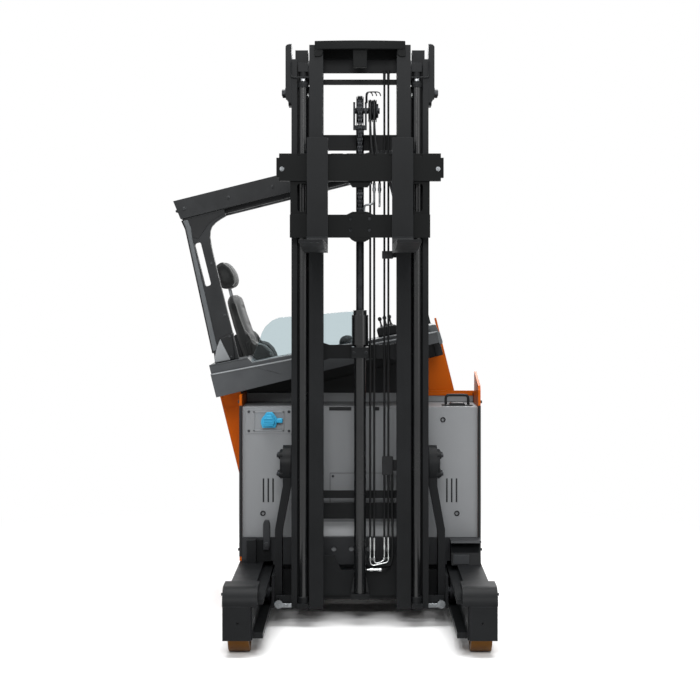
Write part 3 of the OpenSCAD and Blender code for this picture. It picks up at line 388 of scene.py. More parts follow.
def turned(bm, profile, at, axis="z", steps=28, ring=False):
    """A shape from the lathe: pairs of radius and distance along its axis; a ring closes on itself."""
    order = {"x": (1, 2, 0), "y": (2, 0, 1), "z": (0, 1, 2)}[axis]
    loops = []
    for radius, along in profile:
        count = steps if radius > 0.01 else 1
        loop = []
        for k in range(count):
            turn = 2 * math.pi * k / steps
            place = [0.0, 0.0, 0.0]
            for i, part in zip(order, (radius * math.cos(turn), radius * math.sin(turn), along)):
                place[i] = at[i] + part
            loop.append(bm.verts.new(place))
        loops.append(loop)
    pairs = list(zip(loops, loops[1:])) + ([(loops[-1], loops[0])] if ring else [])
    for one, two in pairs:
        for k in range(steps):
            round_one = (one[k % len(one)], one[(k + 1) % len(one)],
                         two[(k + 1) % len(two)], two[k % len(two)])
            corners = list(dict.fromkeys(round_one))
            if len(corners) > 2:
                bm.faces.new(corners)
    if not ring:
        for loop in (loops[0], loops[-1]):
            if len(loop) > 1:
                bm.faces.new(loop)


def eased(points, per=6):
    """A smooth line through some points."""
    spots = [Vector(p) for p in points]
    ends = [2 * spots[0] - spots[1]] + spots + [2 * spots[-1] - spots[-2]]
    line = []
    for a, b, c, d in zip(ends, ends[1:], ends[2:], ends[3:]):
        for k in range(per):
            t = k / per
            steady, once = 2 * b, c - a
            twice, thrice = 2 * a - 5 * b + 4 * c - d, 3 * b - a - 3 * c + d
            line.append(0.5 * (steady + once * t + twice * t**2 + thrice * t**3))
    return line + [spots[-1]]


def arc(centre, radius, from_deg, to_deg, x, steps=16):
    """Points round an axis that lies across the truck, from one angle to another above the front."""
    turns = [math.radians(from_deg + (to_deg - from_deg) * k / steps) for k in range(steps + 1)]
    return [(x, centre[0] - radius * math.cos(t), centre[1] + radius * math.sin(t)) for t in turns]


def tree_of(name, *sockets):
    """A geometry tree with named inputs for its sizes, and the node that gives them."""
    tree = bpy.data.node_groups.new(name, "GeometryNodeTree")
    tree.interface.new_socket("Geometry", in_out="INPUT", socket_type="NodeSocketGeometry")
    for label, kind in sockets:
        tree.interface.new_socket(label, in_out="INPUT", socket_type="NodeSocket" + kind)
    tree.interface.new_socket("Finish", in_out="INPUT", socket_type="NodeSocketMaterial")
    tree.interface.new_socket("Geometry", in_out="OUTPUT", socket_type="NodeSocketGeometry")
    return tree, add(tree, "NodeGroupInput").outputs


def close(tree, given, result):
    """Ends a geometry tree in plain, painted mesh."""
    plain = add(tree, "GeometryNodeRealizeInstances", Geometry=result)
    painted = add(tree, "GeometryNodeSetMaterial", Geometry=plain.outputs[0], Material=given["Finish"])
    add(tree, "NodeGroupOutput", Geometry=painted.outputs[0])
    return tree


def hex_head_tree():
    """A hexagon head on its washer at each point, along the point's axis and to its size across flats."""
    tree, given = tree_of("hexagon_heads", ("Head Height", "Float"), ("Washer Diameter", "Float"),
                          ("Washer Height", "Float"))
    reach = add(tree, "ShaderNodeMath", TIMES, i0=given["Washer Diameter"], i1=0.5)
    washer = add(tree, "GeometryNodeMeshCylinder", Vertices=18, Radius=reach.outputs[0],
                 Depth=given["Washer Height"])
    head = add(tree, "GeometryNodeMeshCylinder", Vertices=6, Radius=0.577, Depth=given["Head Height"])
    taller = add(tree, "ShaderNodeMath", TIMES, i0=given["Head Height"], i1=1.16)
    cap = add(tree, "GeometryNodeMeshCylinder", Vertices=6, Radius=0.47, Depth=taller.outputs[0])
    middle = add(tree, "ShaderNodeMath", TIMES, i0=given["Head Height"], i1=0.5)
    raised = add(tree, "ShaderNodeCombineXYZ", Z=middle.outputs[0]).outputs[0]
    stack = [washer.outputs["Mesh"]]
    for part in (head, cap):
        lifted = add(tree, "GeometryNodeTransform", Geometry=part.outputs["Mesh"], Translation=raised)
        stack.append(lifted.outputs[0])
    bolt = add(tree, "GeometryNodeJoinGeometry", Geometry=stack)
    axis = add(tree, "GeometryNodeInputNamedAttribute", {"data_type": "FLOAT_VECTOR"}, Name="axis")
    size = add(tree, "GeometryNodeInputNamedAttribute", {"data_type": "FLOAT"}, Name="size")
    turn = add(tree, "FunctionNodeAlignRotationToVector", {"axis": "Z"}, Vector=axis.outputs["Attribute"])
    set_in = add(tree, "GeometryNodeInstanceOnPoints", Points=given["Geometry"], Instance=bolt.outputs[0],
                 Rotation=turn.outputs[0], Scale=size.outputs["Attribute"])
    return close(tree, given, set_in.outputs[0])


def strung_tree():
    """Two shapes set in turn along each line: the outer and the inner plates of a leaf chain."""
    tree, given = tree_of("strung_along", ("Spacing", "Float"), ("Even Shape", "Object"),
                          ("Odd Shape", "Object"))
    line = add(tree, "GeometryNodeMeshToCurve", Mesh=given["Geometry"])
    spots = add(tree, "GeometryNodeCurveToPoints", {"mode": "LENGTH"}, Curve=line.outputs[0],
                Length=given["Spacing"])
    turn = add(tree, "FunctionNodeAlignRotationToVector", {"axis": "Z", "pivot_axis": "X"},
               Vector=spots.outputs["Tangent"])
    count = add(tree, "GeometryNodeInputIndex").outputs[0]
    odd = add(tree, "ShaderNodeMath", {"operation": "MODULO"}, i0=count, i1=2.0)
    even = add(tree, "ShaderNodeMath", {"operation": "LESS_THAN"}, i0=odd.outputs[0], i1=0.5)
    rows = []
    for label, chosen in (("Even Shape", even), ("Odd Shape", odd)):
        shape = add(tree, "GeometryNodeObjectInfo", Object=given[label])
        row = add(tree, "GeometryNodeInstanceOnPoints", Points=spots.outputs[0], Selection=chosen.outputs[0],
                  Instance=shape.outputs["Geometry"], Rotation=turn.outputs[0])
        rows.append(row.outputs[0])
    return close(tree, given, add(tree, "GeometryNodeJoinGeometry", Geometry=rows).outputs[0])


def round_bar_tree():
    """A round section carried along each line: hoses, pipes, wires, piping and beads."""
    tree, given = tree_of("round_bar", ("Radius", "Float"), ("Sides", "Int"))
    line = add(tree, "GeometryNodeMeshToCurve", Mesh=given["Geometry"])
    ring = add(tree, "GeometryNodeCurvePrimitiveCircle", {"mode": "RADIUS"}, Resolution=given["Sides"],
               Radius=given["Radius"])
    skin = add(tree, "GeometryNodeCurveToMesh", Curve=line.outputs[0], Profile_Curve=ring.outputs["Curve"],
               Fill_Caps=True)
    return close(tree, given, skin.outputs[0])


def studded_tree():
    """Low round studs in rows at each point of a sheet's grid, added to the sheet."""
    tree, given = tree_of("studded_sheet", ("Stud Radius", "Float"), ("Stud Height", "Float"),
                          ("Sheet", "Object"))
    narrow = add(tree, "ShaderNodeMath", TIMES, i0=given["Stud Radius"], i1=0.7)
    stud = add(tree, "GeometryNodeMeshCone", Vertices=8, Radius_Top=narrow.outputs[0],
               Radius_Bottom=given["Stud Radius"], Depth=given["Stud Height"])
    studs = add(tree, "GeometryNodeInstanceOnPoints", Points=given["Geometry"], Instance=stud.outputs["Mesh"])
    sheet = add(tree, "GeometryNodeObjectInfo", Object=given["Sheet"])
    both = add(tree, "GeometryNodeJoinGeometry", Geometry=[studs.outputs[0], sheet.outputs["Geometry"]])
    return close(tree, given, both.outputs[0])


HEX_HEADS, STRUNG, ROUND_BAR, STUDDED = hex_head_tree(), strung_tree(), round_bar_tree(), studded_tree()


def grown(name, source, tree, slot, body, finish=None, sharp=38, **sizes):
    """Runs a geometry tree on a mesh and keeps the result as a finished piece."""
    holder = bpy.data.objects.new(name + "_source", source)
    scene.collection.objects.link(holder)
    modifier = holder.modifiers.new(tree.name, "NODES")
    modifier.node_group = tree
    sizes["Finish"] = finish or FINISH[slot]
    for item in tree.interface.items_tree:
        label = item.name.replace(" ", "_")
        if item.in_out == "INPUT" and label in sizes:
            modifier[item.identifier] = sizes[label]
    result = applied(holder)
    holder.modifiers.remove(modifier)
    bpy.data.objects.remove(holder)
    return settle(name, result, slot, body, finish, sharp)


def bolts(name, rows, slot, body, to=TO_FRAME, finish=None):
    """Hexagon heads: rows of place, axis and size across flats in millimetres."""
    points = bpy.data.meshes.new(name)
    points.from_pydata([to @ Vector(place) for place, _, _ in rows], [], [])
    points.attributes.new("axis", "FLOAT_VECTOR", "POINT")
    points.attributes.new("size", "FLOAT", "POINT")
    for i, (_, axis, size) in enumerate(rows):
        points.attributes["axis"].data[i].vector = (to.to_3x3() @ Vector(axis)).normalized()
        points.attributes["size"].data[i].value = size * MM
    return grown(name, points, HEX_HEADS, slot, body, finish, 25,
                 Head_Height=0.62, Washer_Diameter=1.75, Washer_Height=0.2)


def line_mesh(name, paths, to):
    """Open lines through some points, in the shared frame."""
    spots, edges = [], []
    for path in paths:
        first = len(spots)
        spots += [to @ Vector(p) for p in path]
        edges += [(i, i + 1) for i in range(first, len(spots) - 1)]
    made = bpy.data.meshes.new(name)
    made.from_pydata(spots, edges, [])
    return made


def bars(name, paths, radius, slot, body, to=TO_FRAME, finish=None, sides=12):
    """Round bars, hoses or wires along some lines; sizes in millimetres."""
    lines = line_mesh(name, paths, to)
    return grown(name, lines, ROUND_BAR, slot, body, finish, 50, Radius=radius * MM, Sides=sides)


def template(name, bm):
    """A hidden shape, drawn in millimetres, that a tree sets many times over."""
    mesh = bpy.data.meshes.new(name)
    bmesh.ops.recalc_face_normals(bm, faces=bm.faces)
    bm.to_mesh(mesh)
    bm.free()
    mesh.transform(Matrix.Scale(MM, 4))
    made = bpy.data.objects.new(name, mesh)
    scene.collection.objects.link(made)
    return made


CLOTH_PRESSURE, CLOTH_STEPS = 4.0, 20


def padded_piece(name, bm, slot, body, to, cap_mm, sewn, finish=None, voxel_mm=6, panel=None):
    """A stuffed pad: its core is remeshed, blown up as cloth, held back by its seams and smoothed once.
    The side that faces along panel is marked for a painted highlight in paler cloth."""
    mesh = bpy.data.meshes.new(name)
    bm.to_mesh(mesh)
    bm.free()
    mesh.transform(to)
    pad = bpy.data.objects.new(name + "_core", mesh)
    scene.collection.objects.link(pad)
    remesh = pad.modifiers.new("even_skin", "REMESH")
    remesh.mode, remesh.voxel_size = "VOXEL", voxel_mm * MM
    pad.data = applied(pad)
    pad.modifiers.clear()
    core = [v.co.copy() for v in pad.data.vertices]
    cloth = pad.modifiers.new("stuffing", "CLOTH")
    cloth.settings.use_pressure = True
    cloth.settings.uniform_pressure_force = CLOTH_PRESSURE
    cloth.settings.effector_weights.gravity = 0.0
    cloth.point_cache.frame_start, cloth.point_cache.frame_end = 1, CLOTH_STEPS
    for step in range(1, CLOTH_STEPS + 1):
        scene.frame_set(step)
    blown = applied(pad)
    pad.modifiers.clear()
    scene.frame_set(1)
    for v, unblown in zip(blown.vertices, core):
        move = v.co - unblown
        if move.length > cap_mm * MM:
            v.co = unblown + move.normalized() * cap_mm * MM
    pad.data = blown
    back = to.inverted()
    turn = back.to_3x3().normalized()
    drawn_in = [to @ sewn(back @ v.co, turn @ v.normal) for v in pad.data.vertices]
    for v, place in zip(pad.data.vertices, drawn_in):
        v.co = place
    smooth = pad.modifiers.new("soft_skin", "SUBSURF")
    smooth.levels = smooth.render_levels = 1
    result = applied(pad)
    bpy.data.objects.remove(pad)
    made = settle(name, result, slot, body, finish, 70)
    if panel:
        # Marks the faces turned along panel, where the cloth is painted paler as a painted highlight
        facing = [(turn @ v.normal).dot(Vector(panel)) for v in made.data.vertices]
        marks = [min(1.0, max(0.0, along * 4 - 1.2)) for along in facing]
        made.data.attributes.new("front_panel", "FLOAT", "POINT").data.foreach_set("value", marks)
    return made


def seam(distance, depth, width):
    """How far a sewn line draws the cover in at some distance from it."""
    return depth * math.exp(-((distance / width) ** 2))


def laid_on(pad, points, to, lift=0.0):
    """Points drawn near a pad, moved on to its skin."""
    skin = BVHTree.FromPolygons([v.co for v in pad.data.vertices], [p.vertices for p in pad.data.polygons])
    line = []
    for p in points:
        spot, normal, _, _ = skin.find_nearest(to @ Vector(p))
        line.append(to.inverted() @ (spot + normal * lift * MM))
    return line


# The operator's place: cushion, back with side wings, head rest and arm rest
CUSHION_SIDES, CUSHION_ROWS, CUSHION_FLOOR = (132, 378), (-260, -150, -40), 1000.4
BACK_X, BACK_Z, BACK_V = -400.0, 1090.0, 255.0
BACK_HALF, BACK_SIDE, BACK_TOP, BACK_ROWS = 202, 128, 584, (130, 260, 390, 490)
SHOULDER, WAIST, ARM_FRONT = 70, 200, 40.5
# Section of the back and outline of a wing: pairs of x and height, from the back's own foot
PROFILE = ((32, 4), (22, 208), (4, 355), (-6, 455), (-9, 555), (-22, 574),
           (-44, 574), (-57, 548), (-53, 400), (-38, 200), (-26, 4))
WING = ((18, 4), (92, 6), (115, 100), (115, 196), (106, 226), (83, 264), (48, 290), (12, 345), (-5, 345))
HEAD_REST = ((-480, 1838), (-438, 1850), (-403, 1809), (-389, 1760), (-391, 1719),
             (-413, 1695), (-474, 1699), (-489, 1730), (-492, 1809))
BACK_COVER = ((-446, 1100), (-486, 1098), (-503, 1150), (-507, 1300),
              (-498, 1380), (-480, 1432), (-462, 1446), (-452, 1436))


def sew_cushion(p, n):
    """Two long seams on top, with rows across between them."""
    near, far = CUSHION_SIDES
    draw = max(seam(p.y - near, 8, 9), seam(p.y - far, 8, 9)) if -390 < p.x < 10 else 0.0
    for row in CUSHION_ROWS:
        if near < p.y < far:
            draw = max(draw, seam(p.x - row, 6, 9))
    p = p - n * draw * max(0.0, n.z)
    return Vector((p.x, p.y, max(p.z, CUSHION_FLOOR)))


def sew_back(p, n):
    """Two upright seams on the front, with rows across between them."""
    across, up = abs(p.y - BACK_V), p.z - BACK_Z
    draw = seam(across - BACK_SIDE, 9, 9) if up < 560 else 0.0
    for row in BACK_ROWS:
        if across < BACK_SIDE:
            draw = max(draw, seam(up - row, 6, 9))
    p = p - n * draw * max(0.0, n.x)
    return Vector((p.x, p.y, max(p.z, BACK_Z + 0.4)))


def sew_head_rest(p, n):
    """An upright seam near each end."""
    return p - n * seam(abs(p.y - BACK_V) - 88, 6, 8) * max(0.0, n.x)


def hold_arm_rest(p, n):
    """The arm rest swells forward only to a flat side."""
    return Vector((p.x, max(p.y, ARM_FRONT), p.z))


bm = bmesh.new()
block(bm, (-420, 20), (70, 440), (1003, 1068), 26, 4)
cushion = padded_piece("seat_cushion_pad", bm, "seat_fabric", "cab", TO_CAB, 17, sew_cushion,
                       panel=(0, 0, 1))
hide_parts("seat_cushion")

bm = bmesh.new()
rings = []
for v in (-202, -196, -180, -156, -128, -60, 0, 60, 128, 156, 180, 196, 202):
    end = BACK_HALF - abs(v)
    top = BACK_TOP - SHOULDER + math.sqrt(max(0.0, SHOULDER**2 - max(0.0, SHOULDER - end - 4) ** 2))
    slim = 0.62 + 0.38 * min(1.0, end / 30) ** 0.5
    ring = []
    for x, z in PROFILE:
        height = z if z < WAIST else WAIST + (z - WAIST) * (top - WAIST) / (BACK_TOP - WAIST)
        middle = -4 - 0.06 * height
        ring.append(bm.verts.new((BACK_X + middle + (x - middle) * slim, BACK_V + v, BACK_Z + height)))
    rings.append(ring)
for one, two in zip(rings, rings[1:]):
    for k in range(len(PROFILE)):
        bm.faces.new((one[k], one[k - 1], two[k - 1], two[k]))
bm.faces.new(rings[0])
bm.faces.new(rings[-1])
bmesh.ops.recalc_face_normals(bm, faces=bm.faces)
for side in (-1, 1):
    thick = sorted((BACK_V + side * BACK_HALF, BACK_V + side * 156))
    plate(bm, [(BACK_X + x, BACK_Z + z) for x, z in WING], "y", thick, 12, 3)
back_pad = padded_piece("seat_back_pad", bm, "seat_fabric", "cab", TO_CAB, 10, sew_back,
                        panel=(1, 0, 0.2))
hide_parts("seat_back")

bm = bmesh.new()
plate(bm, HEAD_REST, "y", (131, 379), 16, 3)
head_pad = padded_piece("head_rest_pad", bm, "seat_fabric", "cab", TO_CAB, 11, sew_head_rest,
                        panel=(1, 0, 0))

bm = bmesh.new()
block(bm, (-243, 93), (46, 113), (1163, 1199), 15, 3)
padded_piece("arm_rest_pad", bm, "seat_fabric", "cab", TO_CAB, 6, hold_arm_rest, TRIM["vinyl"], 5)

WING_EDGE = ((110, 60), (118, 130), (118, 190), (108, 230), (84, 268), (50, 293), (22, 330))
BACK_EDGE = ((8, 380), (-2, 450), (-8, 520))
HEAD_EDGE = ((-436, 1850), (-404, 1806), (-391, 1760), (-393, 1722), (-414, 1700))
piping = []
for side, edge in ((-1, 40), (1, 470)):
    back_line = [(BACK_X + x, edge, BACK_Z + z) for x, z in WING_EDGE]
    back_line += [(BACK_X + x, edge - side * 2, BACK_Z + z) for x, z in BACK_EDGE]
    cushion_line = [(x, edge - side * 26, 1082) for x in (-400, -300, -200, -100, -20)]
    head_line = [(x, edge - side * 88, z) for x, z in HEAD_EDGE]
    for pad, line in ((back_pad, back_line), (cushion, cushion_line), (head_pad, head_line)):
        piping.append(laid_on(pad, eased(line, 4), TO_CAB, 1.0))
# The piping is pale grey on the black cloth, a painted highlight along the pads' front edges
bars("seat_piping", piping, 3.2, "seat_fabric", "cab", TO_CAB, TRIM["piping"], 8)
stems = [[(-445, v, 1640), (-445, v, 1708)] for v in (195, 315)]
bars("head_rest_stems", stems, 5, "bright_steel", "cab", TO_CAB, TRIM["pipe"])
bm = bmesh.new()
plate(bm, BACK_COVER, "y", (95, 415), 12, 3)
piece("seat_back_shell", bm, "black_plastic", "cab", TO_CAB)

# Hand controls on the tray and the steering wheel's knob: lathe profiles are pairs of radius and height
DOME = ((0, -4), (47, -4), (47, 3), (43, 6), (41, 9), (40, 15), (36, 24), (28, 34), (17, 40), (8, 42),
        (0, 43))
LEVER = ((0, 0), (11, 0), (10, 4), (7, 9), (5, 16), (4.5, 18), (4.5, 36), (9, 40), (11, 47), (9.5, 54),
         (5, 58), (0, 59))
SPINNER = ((0, 0), (6, 0), (6, 10), (15, 14), (18, 22), (17, 32), (11, 39), (0, 41))
LEVER_BOX = ((290, 1247.5), (400, 1241.5), (400, 1286), (388, 1294), (302, 1298), (290, 1287))
bm = bmesh.new()
turned(bm, DOME, (120, -95, 1257))
dome = piece("control_dome", bm, "black_plastic", "cab", TO_CAB)
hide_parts("hand_controls")
bm = bmesh.new()
plate(bm, LEVER_BOX, "y", (-150, -30), 7, 3)
for x in (320, 346, 372):
    turned(bm, LEVER, (x, -90, 1292), "z", 16)
piece("lever_unit", bm, "black_plastic", "cab", TO_CAB)
bm = bmesh.new()
turned(bm, SPINNER, (147, 427, 1148), "z", 20)
piece("steering_spinner", bm, "black_plastic", "cab", TO_CAB)

# The footwell: studded mat and two pedals
MAT_X, MAT_V, MAT_TOP = (75, 595), (60, 375), 456
STUD_FIRST, STUD_STEP, STUD_COUNT = (87, 72), (24.8, 24.2), (21, 13)
bm = bmesh.new()
block(bm, MAT_X, MAT_V, (MAT_TOP - 4, MAT_TOP), 1.5, 2)
mat_sheet = template("footwell_mat_sheet", bm)
mat_sheet.data.transform(TO_CAB @ Matrix.Scale(1 / MM, 4))
rows = [STUD_FIRST[0] + STUD_STEP[0] * i for i in range(STUD_COUNT[0])]
columns = [STUD_FIRST[1] + STUD_STEP[1] * j for j in range(STUD_COUNT[1])]
studs = bpy.data.meshes.new("footwell_mat_studs")
studs.from_pydata([TO_CAB @ Vector((x, v, MAT_TOP + 1)) for x in rows for v in columns], [], [])
grown("footwell_mat", studs, STUDDED, "hose_rubber", "cab", Stud_Radius=8.5 * MM, Stud_Height=3 * MM,
      Sheet=mat_sheet)
bpy.data.objects.remove(mat_sheet)
bm = bmesh.new()
for v in (120, 235):
    plate(bm, ((452, 470), (458, 462), (556, 552), (548, 560)), "y", (v, v + 85), 3, 2)
    plate(bm, ((500, 456), (545, 456), (548, 545), (520, 520)), "y", (v + 30, v + 55), 2, 1)
    for k in range(5):
        block(bm, (464 + 18 * k, 470 + 18 * k), (v + 8, v + 77), (474 + 17 * k, 486 + 17 * k), 2, 1)
piece("pedals", bm, "black_plastic", "cab", TO_CAB)

# Cab trim: front post with its cover and rubber, outlines in x and height
POST_SLOT = ((-533, 1742), (-530, 1735), (-523, 1732), (-510, 1732), (-503, 1735), (-500, 1742),
             (-500, 1956), (-503, 1963), (-510, 1966), (-523, 1966), (-530, 1963), (-533, 1956))
POST = ((-576, 1324.5), (-452, 1318.5), (-452, 1880), (-451, 1930), (-446, 1980), (-437, 2010), (-424, 2030),
        (-400, 2046), (-370, 2058), (-338, 2067), (-338, 2107.5), (-566, 2107.5), (-557, 2053))
POST_RUBBER = ((-584, 1380), (-575, 1380), (-556, 2052), (-566, 2100), (-574, 2100), (-565, 2050))
POST_GUSSET = ((-430, 2052), (-345, 2082), (-345, 2098), (-540, 2098), (-536, 2000), (-505, 1985))
POST_EDGE = ((-575, 1390), (-548, 1390), (-537, 1990), (-530, 2046), (-536, 2096), (-562, 2096), (-556, 2050))
bm = bmesh.new()
plate(bm, POST, "y", (-225, -170), 5, 2, [POST_SLOT])
post = piece("front_post_casting", bm, "guard_paint", "cab", TO_CAB, sharp=32)
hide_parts("front_post")
bm = bmesh.new()
plate(bm, ((-581, 1325), (-470, 1319.5), (-449, 1463), (-524, 1449), (-573, 1373)), "y", (-239, -156), 9, 3)
piece("post_base_cover", bm, "black_plastic", "cab", TO_CAB)
bm = bmesh.new()
plate(bm, ((-579, 1328), (-494, 1323), (-521, 1446), (-549, 1406), (-576, 1350)), "y", (-246, -215), 8, 3)
piece("post_base_cheek", bm, "grey_plastic", "cab", TO_CAB, TRIM["pale_trim"])
bm = bmesh.new()
plate(bm, POST_RUBBER, "y", (-206, -189), 2, 2)
plate(bm, POST_GUSSET, "y", (-227, -224.5), 0.8, 1)
piece("post_rubber_strip", bm, "black_plastic", "cab", TO_CAB)

# The tray's rim and right end, which ends short of the ledge behind it so that the cab can come upright
TRAY_RIM = ((-605, 4, 1277), (-605, -318, 1277), (-602, -331, 1277), (-590, -334, 1276.2),
            (575, -334, 1210), (587, -331, 1209.3), (590, -318, 1209.2), (590, 4, 1209.2))
TRAY_CAP = ((588, 1142), (604, 1141), (608.5, 1150), (606, 1205), (600, 1209), (588, 1210))
TRAY_TIER = ((470, 1214), (603, 1206.5), (596, 1244), (588, 1249), (482, 1255), (470, 1248))
TRAY_CREASES = (((-602, -335.5, 1325.5), (-400, -335.5, 1315.6)),
                ((-372, -335.5, 1262), (-246, -335.5, 1193)))
# The rim bead is drawn pale, a painted highlight along the tray's edge
bars("tray_rim_bead", [TRAY_RIM], 4, "grey_plastic", "cab", TO_CAB, TRIM["pale_trim"], 10)
bm = bmesh.new()
plate(bm, TRAY_CAP, "y", (-337, -26), 3, 2)
plate(bm, TRAY_TIER, "y", (-318, -40), 5, 3)
# The end moulding is drawn paler than the tray, a painted highlight where light falls on its right end
piece("tray_end_moulding", bm, "grey_plastic", "cab", TO_CAB, TRIM["dim_highlight_trim"])
bars("tray_creases", TRAY_CREASES, 2.4, "grey_plastic", "cab", TO_CAB, None, 8)

# Screen and the cab's front and rear panels; a black sheet on the front is painted shade under the tray
SCREEN = ((-384, 1285), (203, 1253), (203, 1412), (183, 1420), (-190, 1480), (-230, 1473), (-270, 1452),
          (-296, 1425), (-316, 1392), (-384, 1300))
bm = bmesh.new()
plate(bm, SCREEN, "y", (-309, -303), 1.2, 2)
screen = piece("screen_sheet", bm, "clear_screen", "cab", TO_CAB)
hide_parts("windshield")
seal = [(-386, -310, 1287), (205, -310, 1255)]
# The seal is drawn pale, a painted highlight along the screen's foot
bars("screen_seal", [seal], 2.6, "grey_plastic", "cab", TO_CAB, TRIM["pale_trim"], 8)
bm = bmesh.new()
plate(bm, ((570, 1040), (606, 1040), (606, 1141), (570, 1141)), "y", (2, 9.6), 1.5, 2)
# A black sheet over the middle of the tub's orange front: painted shade where the tray overhangs it
plate(bm, ((-300, 930), (372, 930), (404, 1084), (-300, 1084)), "y", (-3, 0.6), 1, 1)
piece("tub_front_panel", bm, "black_plastic", "cab", TO_CAB)
bm = bmesh.new()
plate(bm, ((-613, 1058), (-505, 1058), (-505, 1154), (-613, 1154)), "y", (2, 9.6), 1.5, 2)
piece("tub_front_cheek", bm, "orange_paint", "cab", TO_CAB)
bm = bmesh.new()
plate(bm, POST_EDGE, "y", (-234, -223), 5, 3)
# The edge cover is drawn paler than the post, a painted highlight on its left edge
piece("post_edge_cover", bm, "grey_plastic", "cab", TO_CAB, TRIM["dim_highlight_trim"])

TUB_REAR = 565.0
hatch = [(-330, 590), (-330, 985), (470, 985), (470, 590), (-330, 590)]
hatch_line = [(x, TUB_REAR + 0.2, z) for x, z in hatch]
bars("tub_rear_seam", [hatch_line], 1.6, "black_plastic", "cab", TO_CAB, None, 6)
bm = bmesh.new()
block(bm, (0, 140), (563, 569), (935, 965), 2.5, 2)
block(bm, (14, 126), (566, 574), (941, 951), 2.5, 2)
piece("hatch_pull", bm, "black_plastic", "cab", TO_CAB)

# Screws on the cab: place, axis and size across flats
ROOF_Z, ROOF_SCREWS_V = 2158, (-150, 60, 270, 480)
POST_SCREWS = ((-546, 2078), (-470, 1840), (-545, 1700), (-470, 1560))
COVER_SCREWS = ((-560, 1345), (-488, 1338), (-470, 1445))
REAR_SCREWS = ((-560, 1030), (-190, 1030), (190, 1030), (560, 1030), (-380, 500), (90, 500), (560, 500))
screws = [((x, -235.3, ROOF_Z), (0, -1, 0), 11) for x in (-540, -300, -60, 180, 420, 560)]
screws += [((x, -225.3, z), (0, -1, 0), 9) for x, z in POST_SCREWS]
screws += [((x, -239.3, z), (0, -1, 0), 8) for x, z in COVER_SCREWS]
screws += [((x, TUB_REAR + 0.3, z), (0, 1, 0), 12) for x, z in REAR_SCREWS]
screws += [((600.3, v, ROOF_Z), (1, 0, 0), 11) for v in ROOF_SCREWS_V]
screws += [((-587.3, v, ROOF_Z), (-1, 0, 0), 11) for v in ROOF_SCREWS_V]
bolts("cab_screws", screws, "guard_paint", "cab", TO_CAB)

# Mast: leaf chain over the sheave. An outer link has four plates and an inner one three, on one pin each
SHEAVE_Y, SHEAVE_Z, CHAIN_R, HOSE_R = 765.0, 2595.0, 69.0, 52.0
CHAIN_FOOT, CHAIN_END = 1446, 2052
PITCH, PLATE_MM, PLATE_R = 19.05, 2.6, 7.2
oval = [(9.5 + PLATE_R * math.sin(a), PLATE_R * math.cos(a)) for a in (0, 0.63, 1.26, 1.88, 2.51, math.pi)]
oval = [(d, z) for z, d in oval] + [(-d, -z) for z, d in oval]
links = []
for label, places in (("outer_plates", (-11.5, -4.6, 2.3, 9.2)), ("inner_plates", (-8.1, -1.1, 5.8))):
    bm = bmesh.new()
    for x in places:
        plate(bm, oval, "x", (x, x + PLATE_MM))
    turned(bm, ((0, -13), (3.3, -13), (3.3, 13), (0, 13)), (0, 0, 9.5), "x", 8)
    links.append(template("chain_" + label, bm))


def chain(name, path, body):
    """Leaf chain along a line, its plates laid in turn."""
    return grown(name, line_mesh(name, [path], TO_FRAME), STRUNG, "chain_steel", body, None, 30,
                 Spacing=PITCH * MM, Even_Shape=links[0], Odd_Shape=links[1])


def across_sheave(made):
    """A run between the sheave and a lower end: its place is baked into its mesh, on no body."""
    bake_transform(made)


behind, before = SHEAVE_Y + CHAIN_R, SHEAVE_Y - CHAIN_R
run = chain("chain_rear_run", [(0, behind, CHAIN_FOOT), (0, behind, SHEAVE_Z)], None)
across_sheave(run)
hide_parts("chain_rear")
run = chain("chain_front_run", [(0, before, SHEAVE_Z), (0, before, CHAIN_END)], None)
across_sheave(run)
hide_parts("chain_front")
chain("chain_over_sheave", arc((SHEAVE_Y, SHEAVE_Z), CHAIN_R, 0, 180, 0.0, 48), "free_lift")
for made in links:
    bpy.data.objects.remove(made)

# Rims of the two wheels on the free-lift rod: pairs of radius and place along the axle
CHAIN_WHEEL = ((15, -18.5), (72, -18.5), (73, -17), (72, -15.5), (61.5, -14),
               (61.5, 14), (72, 15.5), (73, 17), (72, 18.5), (15, 18.5))
HOSE_WHEEL = ((15, 41.6), (56, 41.6), (57, 43), (56, 44.5), (46.6, 47), (46.6, 57), (56, 60), (57, 62),
              (56, 64), (46.6, 67), (46.6, 77.5), (56, 80), (57, 82), (56, 84), (36, 85), (36, 92.5),
              (15, 92.5))
bm = bmesh.new()
for rim in (CHAIN_WHEEL, HOSE_WHEEL):
    turned(bm, rim, (0, SHEAVE_Y, SHEAVE_Z), "x", 40, True)
sheave = piece("grooved_sheaves", bm, "chain_steel", "free_lift")
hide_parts("chain_sheave")

